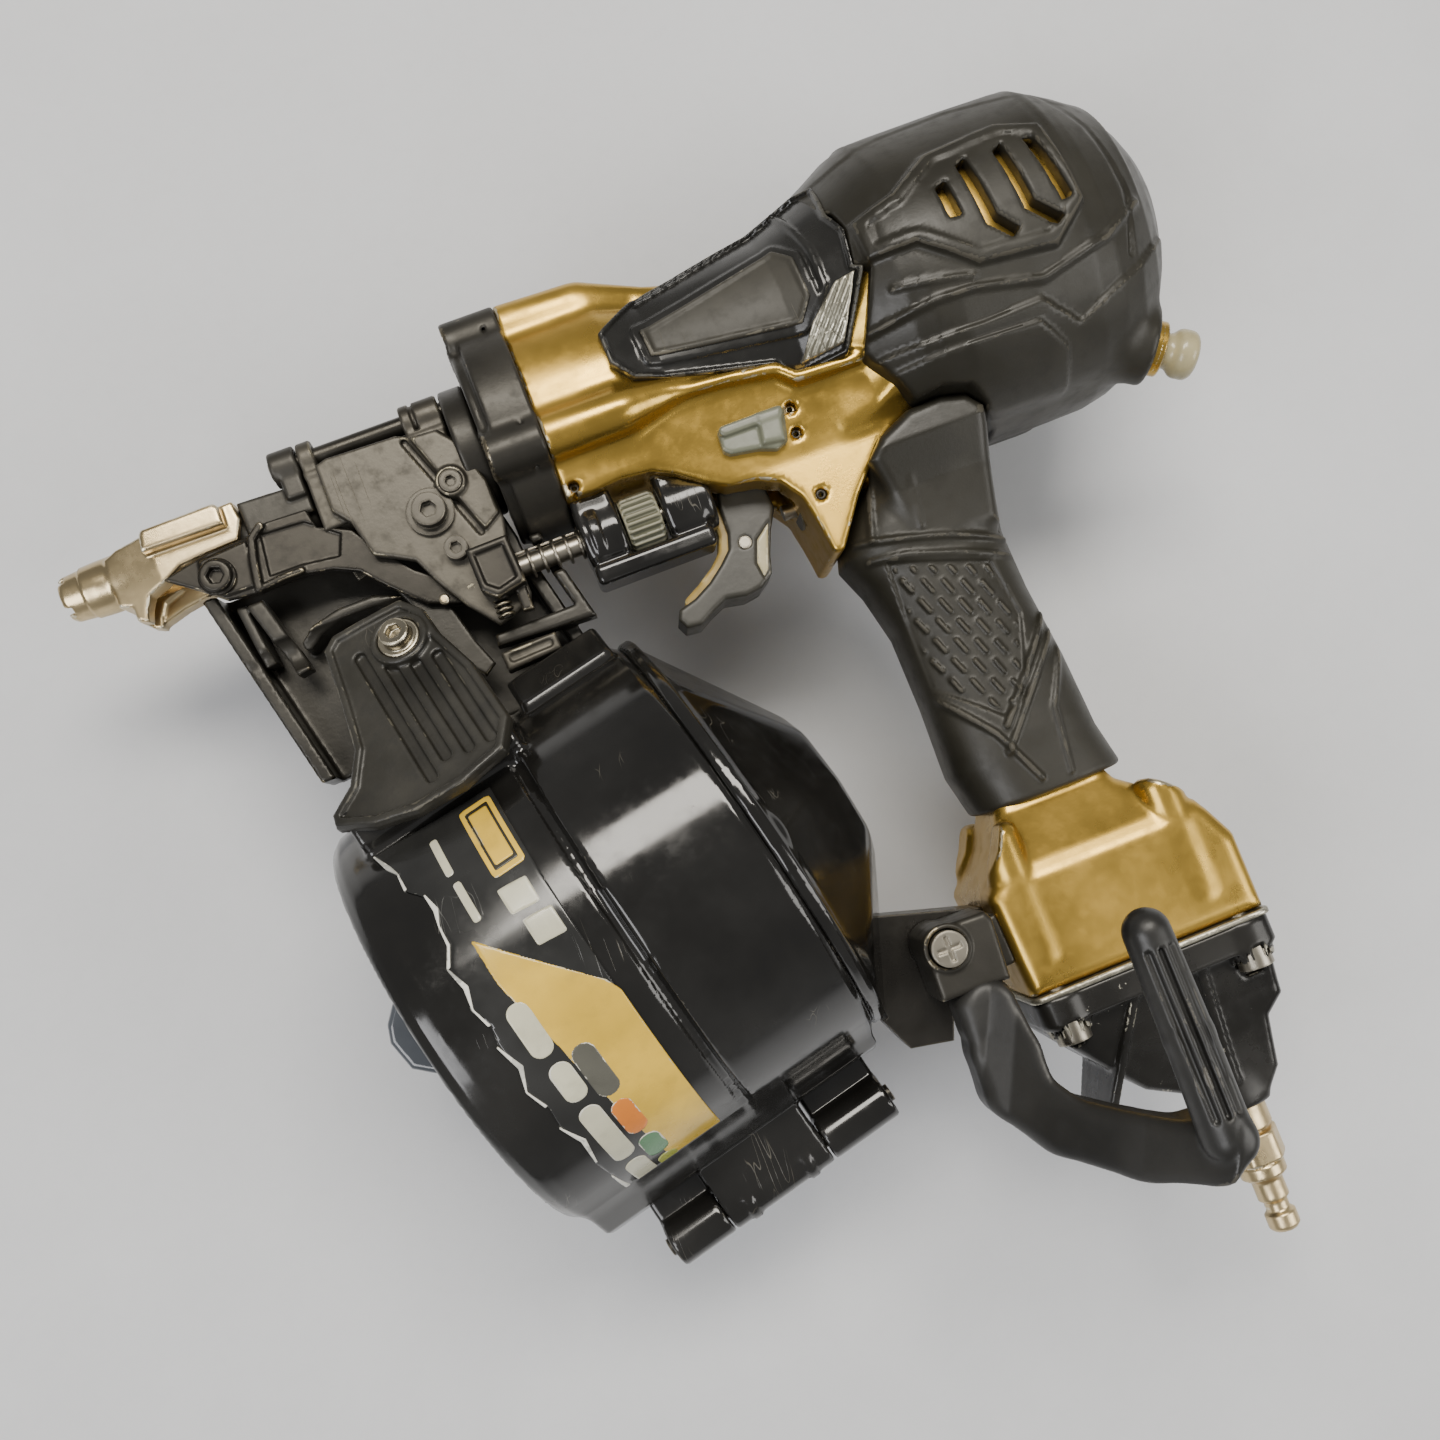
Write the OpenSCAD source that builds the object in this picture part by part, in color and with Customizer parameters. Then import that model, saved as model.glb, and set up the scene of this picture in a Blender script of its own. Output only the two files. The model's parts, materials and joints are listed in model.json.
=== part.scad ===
// Coil nailer for wire-collated nails, high-pressure class.
// Frame: origin on the drive axis at the muzzle, +X along the drive axis to the rear,
// +Y away from the handle end, +Z out of the tool's left side. Millimetres.

/* [Barrel and head] */
// Outer radius of the barrel casting
barrel_r = 24.3; // [24:0.1:24.6]
// Wall of the barrel casting
barrel_wall = 3; // [2.6:0.1:3.2]
// Radius of the cylinder liner's bore
bore_r = 17; // [16.6:0.1:17]
// Radius of the head cap
cap_r = 36.2; // [35.8:0.1:36.2]
// Stroke of the piston
stroke = 92; // [84:1:92]

/* [Nose] */
// Radius of the nail channel
channel_r = 4.2; // [4:0.05:4.2]
// Radius of the driver blade
blade_r = 3.2; // [2.8:0.1:3.4]
// Outer radius of the contact nose's tip
tip_r = 5.7; // [5.5:0.1:6]
// Height of the door's hinge rod above the drive axis
rod_y = 10.5; // [10.3:0.1:10.8]
// Radius of the door's hinge rod
rod_r = 2.2; // [2:0.1:2.3]

/* [Magazine] */
// Outer radius of the drum
drum_r = 53.5; // [52.5:0.5:53.5]
// Wall of the drum
drum_wall = 3; // [2.4:0.2:3]
// Lean of the drum's axis against the drive axis, degrees
drum_lean = 13; // [12:0.5:13.5]
// Distance from the drum's axis to its hinge pin
hinge_drop = 69; // [68:0.5:70]
// Radius of the nail post
post_r = 5; // [4:0.5:6]

/* [Handle] */
// Half width of the handle tube, side to side
handle_half = 13; // [12.5:0.5:13]
// Half width of the grip, side to side
grip_half = 17; // [16.4:0.2:17.2]
// Radius of the plug's shank
plug_r = 3.6; // [3.2:0.1:3.8]
// Height of the belt hook's bar above the mid-plane
hook_z = 68; // [62:1:70]

/* [Hidden] */
$fn = 64;
drum_x = 91;
drum_y = -117;
handle_x = 197;
handle_shift = 2;
end_y = -166;
rod_z = 5.5;
arm_y = -31.5;
arm_z = 7.5;
arm_rod_r = 2.5;
pivot = [157.5, -29.5];
arm_pin = [153.5, -44.5];
switch_at = [159.5, -23.6];
valve_y = -40;
plug_x = 214;
run = 0.05;
bolt_ring = 25;
bolt_angles = [29, 112, -29, -112];
head_ring = 30.5;
head_angles = [45, 135, 225, 315];
duster_at = [244, -25, 12];
duster_lean = 33;
drum_front = -41;
drum_back = 38;
tray_at = -34;
cap_bolt_x = [180, 225];
cap_bolt_z = [-18, 18];
hook_screw_at = [159.3, -147.4];
lever_bolt_at = [36.5, -9.7];
flange_x = [104, 117.3];
seat_x = 203;
bell_x = 207;
bell_r = 35;

// ---- Shapes that repeat ----

module x_rod(x0, x1, r, y = 0, z = 0) {
    translate([x0, y, z]) rotate([0, 90, 0]) cylinder(h = x1 - x0, r = r);
}

module x_tube(x0, x1, outer, inner, y = 0, z = 0) {
    difference() {
        x_rod(x0, x1, outer, y, z);
        x_rod(x0 - 1, x1 + 1, inner, y, z);
    }
}

module y_rod(y0, y1, r, x = 0, z = 0) {
    translate([x, y0, z]) rotate([-90, 0, 0]) cylinder(h = y1 - y0, r = r);
}

module z_rod(z0, z1, r, at = [0, 0]) {
    translate([at[0], at[1], z0]) cylinder(h = z1 - z0, r = r);
}

module block(x, y, z) {
    translate([x[0], y[0], z[0]]) cube([x[1] - x[0], y[1] - y[0], z[1] - z[0]]);
}

module plate(z, outline) {
    translate([0, 0, z[0]]) linear_extrude(z[1] - z[0]) polygon(outline);
}

// A profile of [x, radius] points turned about the drive axis
module turned(profile) {
    rotate([0, 90, 0]) rotate_extrude($fn = 96) polygon([for (p = profile) [p[1], p[0]]]);
}

// Places children round the drive axis; the angle is from +Y towards +Z
module ring(angles, radius) {
    for (a = angles) translate([0, radius * cos(a), radius * sin(a)]) children();
}

// Drum frame: X along the drum's axis to the rear, Y along the feed direction
module at_drum() {
    translate([drum_x, drum_y, 0]) rotate([0, 0, drum_lean]) children();
}

// Feed frame: as the drum's, at the feed cylinder
module at_feed() {
    translate([72, -36, 0]) rotate([0, 0, drum_lean]) children();
}

// Duster frame: X along the button's axis, outward
module at_duster() {
    translate(duster_at) rotate([0, 0, -duster_lean]) children();
}

// A helix of wire along X, each turn a ring, joined by a thin side bar
module ring_spring(x0, x1, radius, wire, turns, y = 0, z = 0) {
    pitch = (x1 - x0 - 2 * wire) / (turns - 1);
    for (i = [0:turns - 1])
        translate([x0 + wire + i * pitch, y, z]) rotate([0, 90, 0])
            rotate_extrude($fn = 32) translate([radius, 0]) circle(wire, $fn = 16);
    x_rod(x0 + wire, x1 - wire, wire * 0.8, y + radius, z);
}

module handle_section(grow) {
    r = handle_half + grow;
    translate([handle_x - handle_shift, 0]) circle(r);
    translate([handle_x + handle_shift, 0]) circle(r);
    translate([handle_x - handle_shift, -r]) square([2 * handle_shift, 2 * r]);
}

// A prism of handle_section between two heights
module handle_prism(y0, y1, grow) {
    translate([0, y1, 0]) rotate([90, 0, 0]) linear_extrude(y1 - y0) handle_section(grow);
}

throat_outline = [[126, -8], [131, -20], [143, -23], [153, -30.5], [166, -33],
    [170, -38.4], [171, -55], [190, -35.5], [200, -30], [200, -8]];
core_outline = [[171.2, -36], [171.2, -52], [186, -62], [207, -62], [207, -24], [180, -24]];
end_outline = [[181, -119], [213, -119], [216, -128], [226, -137], [231, -148],
    [231, end_y], [174, end_y], [173, -141], [179, -134]];
cap_outline = [[176, -172], [229.5, -172], [229.5, -194], [224, -197], [222, -209],
    [206, -209], [201, -204], [178, -184]];
panel_outline = [[137, 8.2], [147, 15.2], [191.8, 26.9], [195.4, 26], [195.4, -4],
    [188.8, -15.6], [174.6, -15.5], [172.5, -11.7], [141.1, -4.2], [137, 0.4]];
badge_outline = [[146.3, 6.2], [181.2, 13.4], [184.2, 9.3], [184.2, -1], [181.3, -5.7],
    [146.7, -0.4]];
insert_outline = [[177.9, -13.8], [183.6, -7.2], [187.2, -6.2], [187.8, -13.2]];
trigger_outline = [[151.5, -30], [163, -31], [163, -41], [158.5, -46], [157, -54],
    [150, -56.2], [144, -54.8], [137, -58], [132.6, -56.6], [133, -54], [142, -50.5],
    [149, -45.5], [150.6, -43], [150.6, -33]];

// ---- Fixed parts of the tool ----

module body_bell() {
    turned([[185, 0], [185, barrel_r], [186, barrel_r], [205, bell_r], [bell_x, bell_r], [bell_x, 0]]);
}

module body_housing() {
    color("darkgoldenrod") difference() {
        union() {
            x_rod(117.5, 190, barrel_r);
            body_bell();
            ring(bolt_angles, bolt_ring) x_rod(117.5, 144, 5);
            plate([-17, 17], throat_outline);
            plate([-handle_half, handle_half], core_outline);
            handle_prism(-150, -37, 0);
            plate([-22, 22], end_outline);
        }
        x_rod(116, 122, 12);
        x_rod(121, 210, barrel_r - barrel_wall);
        x_rod(seat_x, 210, 26);
        ring(bolt_angles, bolt_ring) x_rod(116, 138, 2.5);
        ring(head_angles, head_ring) x_rod(201.8, 210, 2.5);
        handle_prism(-160, -14, -3.5);
        block([184, 220], [end_y - 1, -142], [-16, 16]);
        block([148, 168.5], [-60, -25.3], [-7.4, 7.4]);
        z_rod(-20, 20, 2 + run, pivot);
        z_rod(7, 20, 3.9 + run, switch_at);
        x_rod(168, 190, 5.6, valve_y);
        for (x = cap_bolt_x, z = cap_bolt_z) y_rod(end_y - 1, -150, 2.5, x, z);
    }
}

module head_cap() {
    color("goldenrod") difference() {
        union() {
            turned([[207.5, 0], [207.5, cap_r], [249, cap_r], [264, 28], [270, 15], [270.5, 0]]);
            at_duster() x_rod(0, 22, 6.5);
        }
        difference() {
            turned([[206, 0], [206, 32.6], [247, 32.6], [260, 25], [266, 12], [266, 0]]);
            ring(head_angles, head_ring) x_rod(200, 262, 4);
            x_rod(244, 268, 12);
            at_duster() x_rod(0, 24, 6.5);
        }
        x_rod(240, 262, 8 + run);
        ring(head_angles, head_ring) {
            x_rod(200, 262, 2.7);
            x_rod(249.5, 280, 4.6);
        }
        at_duster() x_rod(-4, 24, 2 + run);
    }
}

module rear_protector() {
    color("dimgray") difference() {
        union() {
            turned([[198, 0], [198, 32.6], [209, 39.6], [227, 43.6], [243, 42.5],
                [258, 39.5], [270, 33], [278, 20], [281, 8], [281, 0]]);
            at_duster() x_rod(8, 19.5, 9.6);
        }
        turned([[190, 0], [190, 27.4], [198, 31.5], [205.5, 35.6], [208, 36.7], [250, 36.7],
            [266, 29], [272, 16], [273, 0]]);
        block([190, 219], [-60, -25], [-18.5, 18.5]);
        at_duster() x_rod(0, 24, 6.8);
        for (i = [0:3]) for (s = [-1, 1])
            translate([227 + i * 8, 8 - i, s * 40]) rotate([0, 0, 24])
                cube([3, 17, 12], center = true);
    }
}

module head_bolts() {
    color("silver") ring(head_angles, head_ring) difference() {
        union() {
            x_rod(202, 250, 2.45);
            x_rod(249.5, 253.5, 4.2);
        }
        translate([251, 0, 0]) rotate([0, 90, 0]) cylinder(h = 4, r = 2.4, $fn = 6);
    }
}

module head_gasket() {
    color("black") difference() {
        x_tube(207, 207.5, 34.8, 26.2);
        ring(head_angles, head_ring) x_rod(206, 209, 2.7);
    }
}

module cylinder_liner() {
    color("lightgray") difference() {
        union() {
            x_rod(122, 232, bore_r + 2.6);
            x_rod(seat_x, bell_x, 25.9);
        }
        x_rod(121, 233, bore_r);
    }
}

module piston_bumper() {
    color("black") x_tube(122.2, 129.7, bore_r - 0.15, 4.8);
}

module nose_flange() {
    color("dimgray") difference() {
        union() {
            x_rod(flange_x[0], flange_x[1], 27);
            ring(bolt_angles, bolt_ring) x_rod(flange_x[0], flange_x[1], 5.4);
        }
        x_rod(103, 118, channel_r);
        ring(bolt_angles, bolt_ring) {
            x_rod(103, 118, 2.7);
            x_rod(103, 110, 4.8);
        }
        x_rod(103, 118, 5.4, arm_y, arm_z);
    }
}

module flange_bolts() {
    color("silver") ring(bolt_angles, bolt_ring) difference() {
        union() {
            x_rod(110, 136, 2.45);
            x_rod(104.6, 110, 4.2);
        }
        translate([104, 0, 0]) rotate([0, 90, 0]) cylinder(h = 3.4, r = 2.4, $fn = 6);
    }
}

module blade_guide() {
    color("dimgray") difference() {
        union() {
            x_rod(28.5, 62, 6);
            x_rod(98, 104, 16);
            block([60, 99], [-8, 12], [-12, -0.3]);
            block([57, 62], [2, rod_y], [-5, 9]);
            x_rod(57, 62, 4, rod_y, rod_z);
        }
        x_rod(27, 105, channel_r);
        x_rod(56, 105, rod_r + run, rod_y, rod_z);
        block([27, 94], [-14, 0], [-2, 2]);
        block([84, 94], [-14, 0], [-4.2, 4.2]);
    }
}

// A sloping wall of the feed track, between two heights
module feed_wall(top, foot) {
    plate([-9, 3], [top, [top[0] + 3.4, top[1]], [foot[0] + 3.4, foot[1]], foot]);
}

module feed_housing() {
    color("dimgray") difference() {
        union() {
            plate([-9, -5.2], [[60, -8.2], [97.5, -8.2], [97.5, -17], [101.6, -28],
                [112, -62], [44, -62], [32, -12], [60, -12]]);
            feed_wall([29.5, -12], [41, -62]);
            feed_wall([101.6, -28], [109.4, -62]);
        }
        at_feed() block([-4.6, 4.6], [0, 29], [-10, -4]);
    }
}

module hinge_rod() {
    color("dimgray") x_rod(55.4, 103.8, rod_r, rod_y, rod_z);
}

module adjuster_housing() {
    color("black") difference() {
        union() {
            block([117.6, 127.6], [-38.6, -20], [0, 15]);
            block([137.2, 147], [-38.6, -20], [0, 15]);
            block([117.6, 147], [-43, -38.4], [1, 14]);
        }
        x_rod(110, 150, barrel_r + 0.2);
        plate([-18, 18], throat_outline);
        ring([112], bolt_ring) x_rod(116, 150, 5.3);
        x_rod(110, 150, arm_rod_r + 0.3, arm_y, arm_z);
        x_rod(127.4, 137.4, 7.4, arm_y, arm_z);
    }
}

// Shell over the barrel and bell, as thick as the step between the two lifts
module side_shell(low, high) {
    turned([[136, barrel_r + low], [186 - low / 2, barrel_r + low], [200, 32.2 + low],
        [200, 32.2 + high], [186 - high / 2, barrel_r + high], [136, barrel_r + high]]);
}

module side_panel() {
    intersection() {
        side_shell(0.3, 3.2);
        plate([5.2, 60], panel_outline);
    }
}

module side_panel_left() {
    color("black") side_panel();
}

module side_panel_right() {
    color("black") mirror([0, 0, 1]) side_panel();
}

module side_badges() {
    color("dimgray") for (s = [0, 1]) mirror([0, 0, s]) intersection() {
        side_shell(3.4, 4.6);
        plate([5, 60], badge_outline);
    }
}

module side_inserts() {
    color("silver") for (s = [0, 1]) mirror([0, 0, s]) intersection() {
        side_shell(3.4, 4.4);
        plate([5, 60], insert_outline);
    }
}

module grip() {
    color("black") difference() {
        union() {
            handle_prism(-122, -60, grip_half - handle_half + 1);
            plate([-grip_half - 0.5, grip_half + 0.5], [[171.5, -57], [178, -68], [216, -68],
                [217.5, -42], [212, -34.2], [191, -35.8]]);
        }
        handle_prism(-130, -10, 0.15);
        plate([-handle_half - 0.15, handle_half + 0.15], core_outline);
        plate([-17.2, 17.2], throat_outline);
        plate([-22.2, 22.2], end_outline);
        handle_trim();
    }
}

// Keeps the grip's top clear of the bell
module handle_trim() {
    turned([[186, 0], [186, barrel_r + 0.2], [205, 35.3], [207.5, 36.6], [240, 36.6], [240, 0]]);
}

module end_gasket() {
    color("gray") difference() {
        block([174, 231], [end_y - 1, end_y], [-22, 22]);
        block([184, 220], [end_y - 2, end_y + 1], [-16, 16]);
        for (x = cap_bolt_x, z = cap_bolt_z) y_rod(end_y - 2, end_y + 1, 2.7, x, z);
    }
}

module end_cap() {
    color("black") difference() {
        union() {
            block([174, 231], [-172.5, end_y - 1], [-22, 22]);
            plate([-13.5, 13.5], cap_outline);
            y_rod(-209, -190, 8, plug_x);
        }
        block([184, 220], [-184, -160], [-10, 10]);
        y_rod(-212, -183, 6, plug_x);
        for (x = cap_bolt_x, z = cap_bolt_z) y_rod(-174, -160, 2.7, x, z);
    }
}

module end_cap_bolts() {
    color("silver") for (x = cap_bolt_x, z = cap_bolt_z) difference() {
        union() {
            y_rod(-173, -152, 2.45, x, z);
            y_rod(-178, -172.5, 4, x, z);
        }
        translate([x, -179, z]) rotate([-90, 0, 0]) cylinder(h = 3.4, r = 2.3, $fn = 6);
    }
}

module air_plug() {
    color("silver") difference() {
        union() {
            y_rod(-210, -190, 5.95, plug_x);
            translate([plug_x, -224, 0]) rotate([-90, 0, 0]) cylinder(h = 15, r = 7.1, $fn = 6);
            y_rod(-226, -224, 5.6, plug_x);
            y_rod(-240.5, -225, plug_r, plug_x);
        }
        y_rod(-242, -188, 2.2, plug_x);
    }
}

module hook_bracket() {
    color("black") difference() {
        union() {
            block([154, 171], [-159, -143], [8, 27]);
            block([168, 173.8], [-157, -145], [8, 20]);
        }
        z_rod(0, 30, 2.2, hook_screw_at);
        plate([-23, 23], end_outline);
    }
}

hook_path = [[162.5, -165.5, 21], [162, -184, 22], [170, -196, 30], [184, -206, 48],
    [192, -206, hook_z - 5], [193, -198, hook_z], [193, -154, hook_z]];

module belt_hook() {
    color("black") for (i = [0:len(hook_path) - 2]) hull() {
        translate(hook_path[i]) sphere(i < 3 ? 6 : 5.6, $fn = 20);
        translate(hook_path[i + 1]) sphere(i < 2 ? 6 : 5.6, $fn = 20);
    }
    color("black") block([156.5, 168.5], [-166, -159.2], [15.5, 26.5]);
}

module hook_screw() {
    color("silver") difference() {
        union() {
            z_rod(12, 28, 2.15, hook_screw_at);
            z_rod(27, 29.6, 4, hook_screw_at);
        }
        block([156.5, 162.1], [-147.9, -146.9], [28.6, 31]);
        block([158.8, 159.8], [-150.2, -144.6], [28.6, 31]);
    }
}

// ---- Magazine ----

module drum_shell(front, back) {
    difference() {
        union() {
            x_rod(front, back, drum_r - 1);
            x_rod(0, back, drum_r);
        }
        x_rod(front + 2.5, back + 1, drum_r - 1 - drum_wall);
    }
}

module rear_cone(grow) {
    translate([41, -4, 0]) rotate([0, 90, 0])
        cylinder(h = 21 + grow, r1 = 47 + grow, r2 = 15.5 + grow);
}

module base_knuckles(r0, lift) {
    for (s = [[-28, -14], [14, 32]]) {
        x_rod(s[0], s[1], r0, -hinge_drop);
        if (lift > 0) block([s[0], s[1]], [-hinge_drop + 1, -48], [-lift, -0.4]);
    }
}

module magazine_base() {
    color("black") at_drum() difference() {
        union() {
            intersection() {
                drum_shell(drum_front, drum_back);
                block([-60, 60], [-80, 80], [-80, -0.3]);
            }
            x_rod(38, 41.5, drum_r);
            rear_cone(0);
            base_knuckles(5.5, 5.4);
            block([-30, 36], [44, 62], [-13, -9.2]);
        }
        translate([41, -4, 0]) rotate([0, 90, 0]) cylinder(h = 18.5, r1 = 44, r2 = 13.5);
        ring([0:60:300], 30) x_rod(37, 42, 5);
        intersection() {
            x_rod(-38.5, 38, drum_r - 1 - drum_wall);
            block([-60, 60], [-80, 46], [-80, 80]);
        }
        base_knuckles_bore();
        block([-36, 37], [40, 60], [-9.2, 9]);
    }
}

module base_knuckles_bore() {
    x_rod(-40, 40, 2.1 + run, -hinge_drop);
}

module magazine_arm() {
    color("dimgray") difference() {
        plate([-6, 7.8], [[138, -150], [146, -136], [156, -139], [173, -144],
            [173, -158], [160, -160], [156, -170], [146, -168]]);
        at_drum() rear_cone(0.3);
        at_drum() x_rod(-50, 41.8, drum_r + 0.3);
    }
}

module nail_post() {
    color("silver") at_drum() {
        x_rod(-37, 38, post_r);
        x_rod(36, 38, 12);
    }
}

module magazine_pin() {
    color("silver") at_drum() x_rod(-29, 33, 2.1, -hinge_drop);
}

module magazine_cover() {
    color("black") at_drum() difference() {
        union() {
            intersection() {
                drum_shell(drum_front, 37.6);
                block([-60, 60], [-80, 80], [0.3, 80]);
            }
            difference() {
                block([-32, 8], [38, 52], [9.2, 33.4]);
                x_rod(-40, 40, drum_r - 1 - drum_wall);
            }
            x_rod(-13.6, 13.6, 5.5, -hinge_drop);
            block([-13.6, 13.6], [-hinge_drop + 1, -48], [0.4, 5.4]);
        }
        x_rod(-38.5, 39, drum_r - 1 - drum_wall);
        base_knuckles_bore();
        block([-36, 40], [40, 60], [-9.2, 9]);
    }
}

feed_door_tilt = 27;
function door_v(w) = (w - 40) / cos(feed_door_tilt);

module at_feed_door() {
    at_drum() translate([0, 40, 40]) rotate([-feed_door_tilt, 0, 0]) children();
}

module feed_door() {
    color("black") at_feed_door() difference() {
        union() {
            linear_extrude(3) polygon([[-15, door_v(87)], [5, door_v(74)], [8.4, door_v(46)],
                [-2, door_v(40)], [-17, door_v(41)], [-32, door_v(49)], [-20, door_v(78)]]);
            translate([-1.6, door_v(77), 2]) cylinder(h = 1.8, r = 5);
            translate([-1.6, door_v(77), 3]) cylinder(h = 4.6, r = 3.4);
        }
        for (i = [0:3]) translate([-22 + i * 6.4, door_v(47), 1.8])
            cube([2.2, 24 - (i == 3 ? 6 : 0), 3]);
        translate([-1.6, door_v(77), 5]) cylinder(h = 4, r = 1.9, $fn = 6);
    }
}

module label_plate() {
    color("goldenrod") at_drum() intersection() {
        x_tube(-38, -2, drum_r - 0.6, drum_r - 0.9);
        block([-50, 0], [-47, 36], [12, 60]);
    }
}

module nail_tray() {
    color("gray") at_drum() difference() {
        union() {
            x_rod(tray_at, tray_at + 2.5, 45);
            x_rod(tray_at, tray_at + 14, 8);
        }
        x_rod(tray_at - 1, tray_at + 15, post_r + run);
    }
}

// ---- Feed ----

module feed_cylinder() {
    color("gray") at_feed() difference() {
        union() {
            y_rod(-20, 10, 10, 0, -20);
            block([-9, 9], [-19, 8], [-20, -9.2]);
        }
        y_rod(-18, 11, 7.5, 0, -20);
    }
}

module feed_piston() {
    color("silver") at_feed() {
        y_rod(-9, -3, 7.45, 0, -20);
        y_rod(-4, 21, 3, 0, -20);
        block([-4, 4], [19, 27], [-24, -9.4]);
        plate([-9.6, -4.4], [[-3.4, 19], [3.4, 19], [3.4, 26.5], [-3.4, 23]]);
    }
}

// ---- Drive ----

module piston() {
    color("silver") difference() {
        x_rod(222, 232, bore_r - 0.1);
        x_tube(225.5, 228.5, bore_r + 1, bore_r - 2);
    }
}

module piston_ring() {
    color("black") x_tube(225.6, 228.4, bore_r - run, bore_r - 1.95);
}

module driver_blade() {
    color("silver") x_rod(222 - 118, 222, blade_r);
}

module head_valve() {
    color("dimgray") union() {
        x_rod(232.3, 236.3, 24);
        x_rod(236, 250, 8);
    }
}

module head_valve_spring() {
    color("silver") ring_spring(236.6, 261.5, 14, 1, 6);
}

// ---- Contact arm ----

module contact_nose() {
    color("lightgray") difference() {
        union() {
            x_rod(0, 18, tip_r);
            x_rod(4.5, 16, 6.2);
            block([12, 45], [-10.5, 7.6], [-8.4, 6.3]);
            block([23.6, 41.7], [0.6, 6.4], [6, 12]);
        }
        x_rod(-1, 20, channel_r);
        x_rod(16, 46, 6.4);
        block([16, 46], [-12, 0], [-2.6, 2.6]);
        for (a = [45, 135]) rotate([a, 0, 0]) block([-1, 2], [-9, 9], [-0.7, 0.7]);
        block([30, 46], [-12, -3], [2, 7]);
    }
}

module push_lever() {
    color("dimgray") difference() {
        plate([6.5, 9], [[31, -6], [44, -4.5], [49.5, -9.8], [62, -10.2], [70, -16],
            [80, -27], [98, -28], [98, -35], [80, -35], [66, -26], [55, -17], [42, -15.5],
            [31, -13.5]]);
        z_rod(5, 10, 2.1, lever_bolt_at);
        x_rod(97, 99, 3, arm_y, arm_z);
    }
}

module push_rod() {
    color("silver") {
        x_rod(98, 126, arm_rod_r, arm_y, arm_z);
        x_rod(98, 101, 3.8, arm_y, arm_z);
    }
}

module lever_bolt() {
    color("silver") difference() {
        union() {
            z_rod(6.6, 9, 2, lever_bolt_at);
            z_rod(9, 12.4, 3.8, lever_bolt_at);
        }
        translate([lever_bolt_at[0], lever_bolt_at[1], 10.6]) cylinder(h = 3, r = 2, $fn = 6);
    }
}

module contact_spring() {
    color("silver") ring_spring(101.2, 117.4, 3.2, 0.4, 6, arm_y, arm_z);
}

module upper_arm() {
    color("silver") x_rod(131, 138.6, arm_rod_r, arm_y, arm_z);
}

module adjuster_dial() {
    color("olivedrab") difference() {
        union() {
            x_rod(127.9, 136.9, 6.3, arm_y, arm_z);
            for (a = [0:30:330]) translate([0, arm_y, arm_z])
                rotate([a, 0, 0]) x_rod(127.9, 136.9, 0.8, 6.1);
        }
        x_rod(126, 138, arm_rod_r + 0.3, arm_y, arm_z);
    }
}

// ---- Trigger ----

module trigger() {
    color("dimgray") difference() {
        union() {
            plate([-7, 7], trigger_outline);
            z_rod(-7, 7, 3.8, pivot);
        }
        plate([-4, 4], [[152.6, -20], [152.6, -41.5], [150.8, -44], [150.8, -48], [156, -49],
            [170, -49], [170, -20]]);
        z_rod(-8, 8, 2 + run, pivot);
        z_rod(-8, 8, 1.5 + run, arm_pin);
    }
}

module trigger_face() {
    color("goldenrod") plate([-5, 5], [[148.4, -35], [150.5, -34], [150.5, -43.2],
        [148.9, -45.3], [142, -50.3], [141.2, -49.4], [147.6, -44.6]]);
}

module trigger_pin() {
    color("silver") z_rod(-16.8, 16.8, 2, pivot);
}

module trigger_arm_pin() {
    color("silver") z_rod(-7, 7, 1.5, arm_pin);
}

module trigger_arm() {
    color("silver") difference() {
        union() {
            plate([-3.6, 3.6], [[152.2, -46.4], [155, -46.6], [162.4, -39.4], [161.2, -36.8]]);
            z_rod(-3.6, 3.6, 2.3, arm_pin);
        }
        z_rod(-4, 4, 1.5 + run, arm_pin);
    }
}

module trigger_valve_body() {
    color("black") difference() {
        x_rod(168.6, 186, 5.5, valve_y);
        x_rod(168, 177, 1.9 + run, valve_y);
        x_rod(176, 187, 4.2, valve_y);
    }
}

module valve_plunger() {
    color("silver") {
        x_rod(165.4, 177, 1.9, valve_y);
        x_rod(176.6, 179, 3.8, valve_y);
    }
}

module valve_spring() {
    color("silver") ring_spring(179.1, 185.8, 2.8, 0.4, 4, valve_y);
}

module mode_switch() {
    color("gray") union() {
        z_rod(9, 18, 3.9, switch_at);
        translate([switch_at[0], switch_at[1], 17.4]) rotate([0, 0, -12]) linear_extrude(4.4) {
            circle(4.6);
            translate([10.4, 0]) circle(3.6);
            polygon([[0, 4.5], [10.4, 3.5], [10.4, -3.5], [0, -4.5]]);
        }
    }
}

// ---- Nose door ----

module nose_door() {
    color("dimgray") difference() {
        union() {
            block([62.5, 97.5], [-8, 6.6], [0.3, 9.4]);
            plate([9.3, 12.5], [[66, 6.6], [96, 6.6], [97.5, -2], [97.5, -14], [101.5, -16],
                [101.5, -40], [93, -43], [84, -36], [70, -22], [66, -6]]);
            for (k = [[62.6, 66.4], [88, 97.5]]) {
                x_rod(k[0], k[1], 4.2, rod_y, rod_z);
                block([k[0], k[1]], [5, rod_y], [1.4, 9.4]);
            }
        }
        x_rod(60, 99, channel_r);
        x_rod(60, 99, rod_r + run, rod_y, rod_z);
        block([60, 94], [-14, 0], [-2, 2]);
        block([84, 94], [-14, 0], [-4.2, 4.2]);
        block([95.5, 103], [-36, -27], [9, 11.6]);
    }
}

module socket_head(at, r, z) {
    difference() {
        z_rod(z, z + r, r, at);
        translate([at[0], at[1], z + r * 0.5]) cylinder(h = r, r = r * 0.5, $fn = 6);
    }
}

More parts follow.
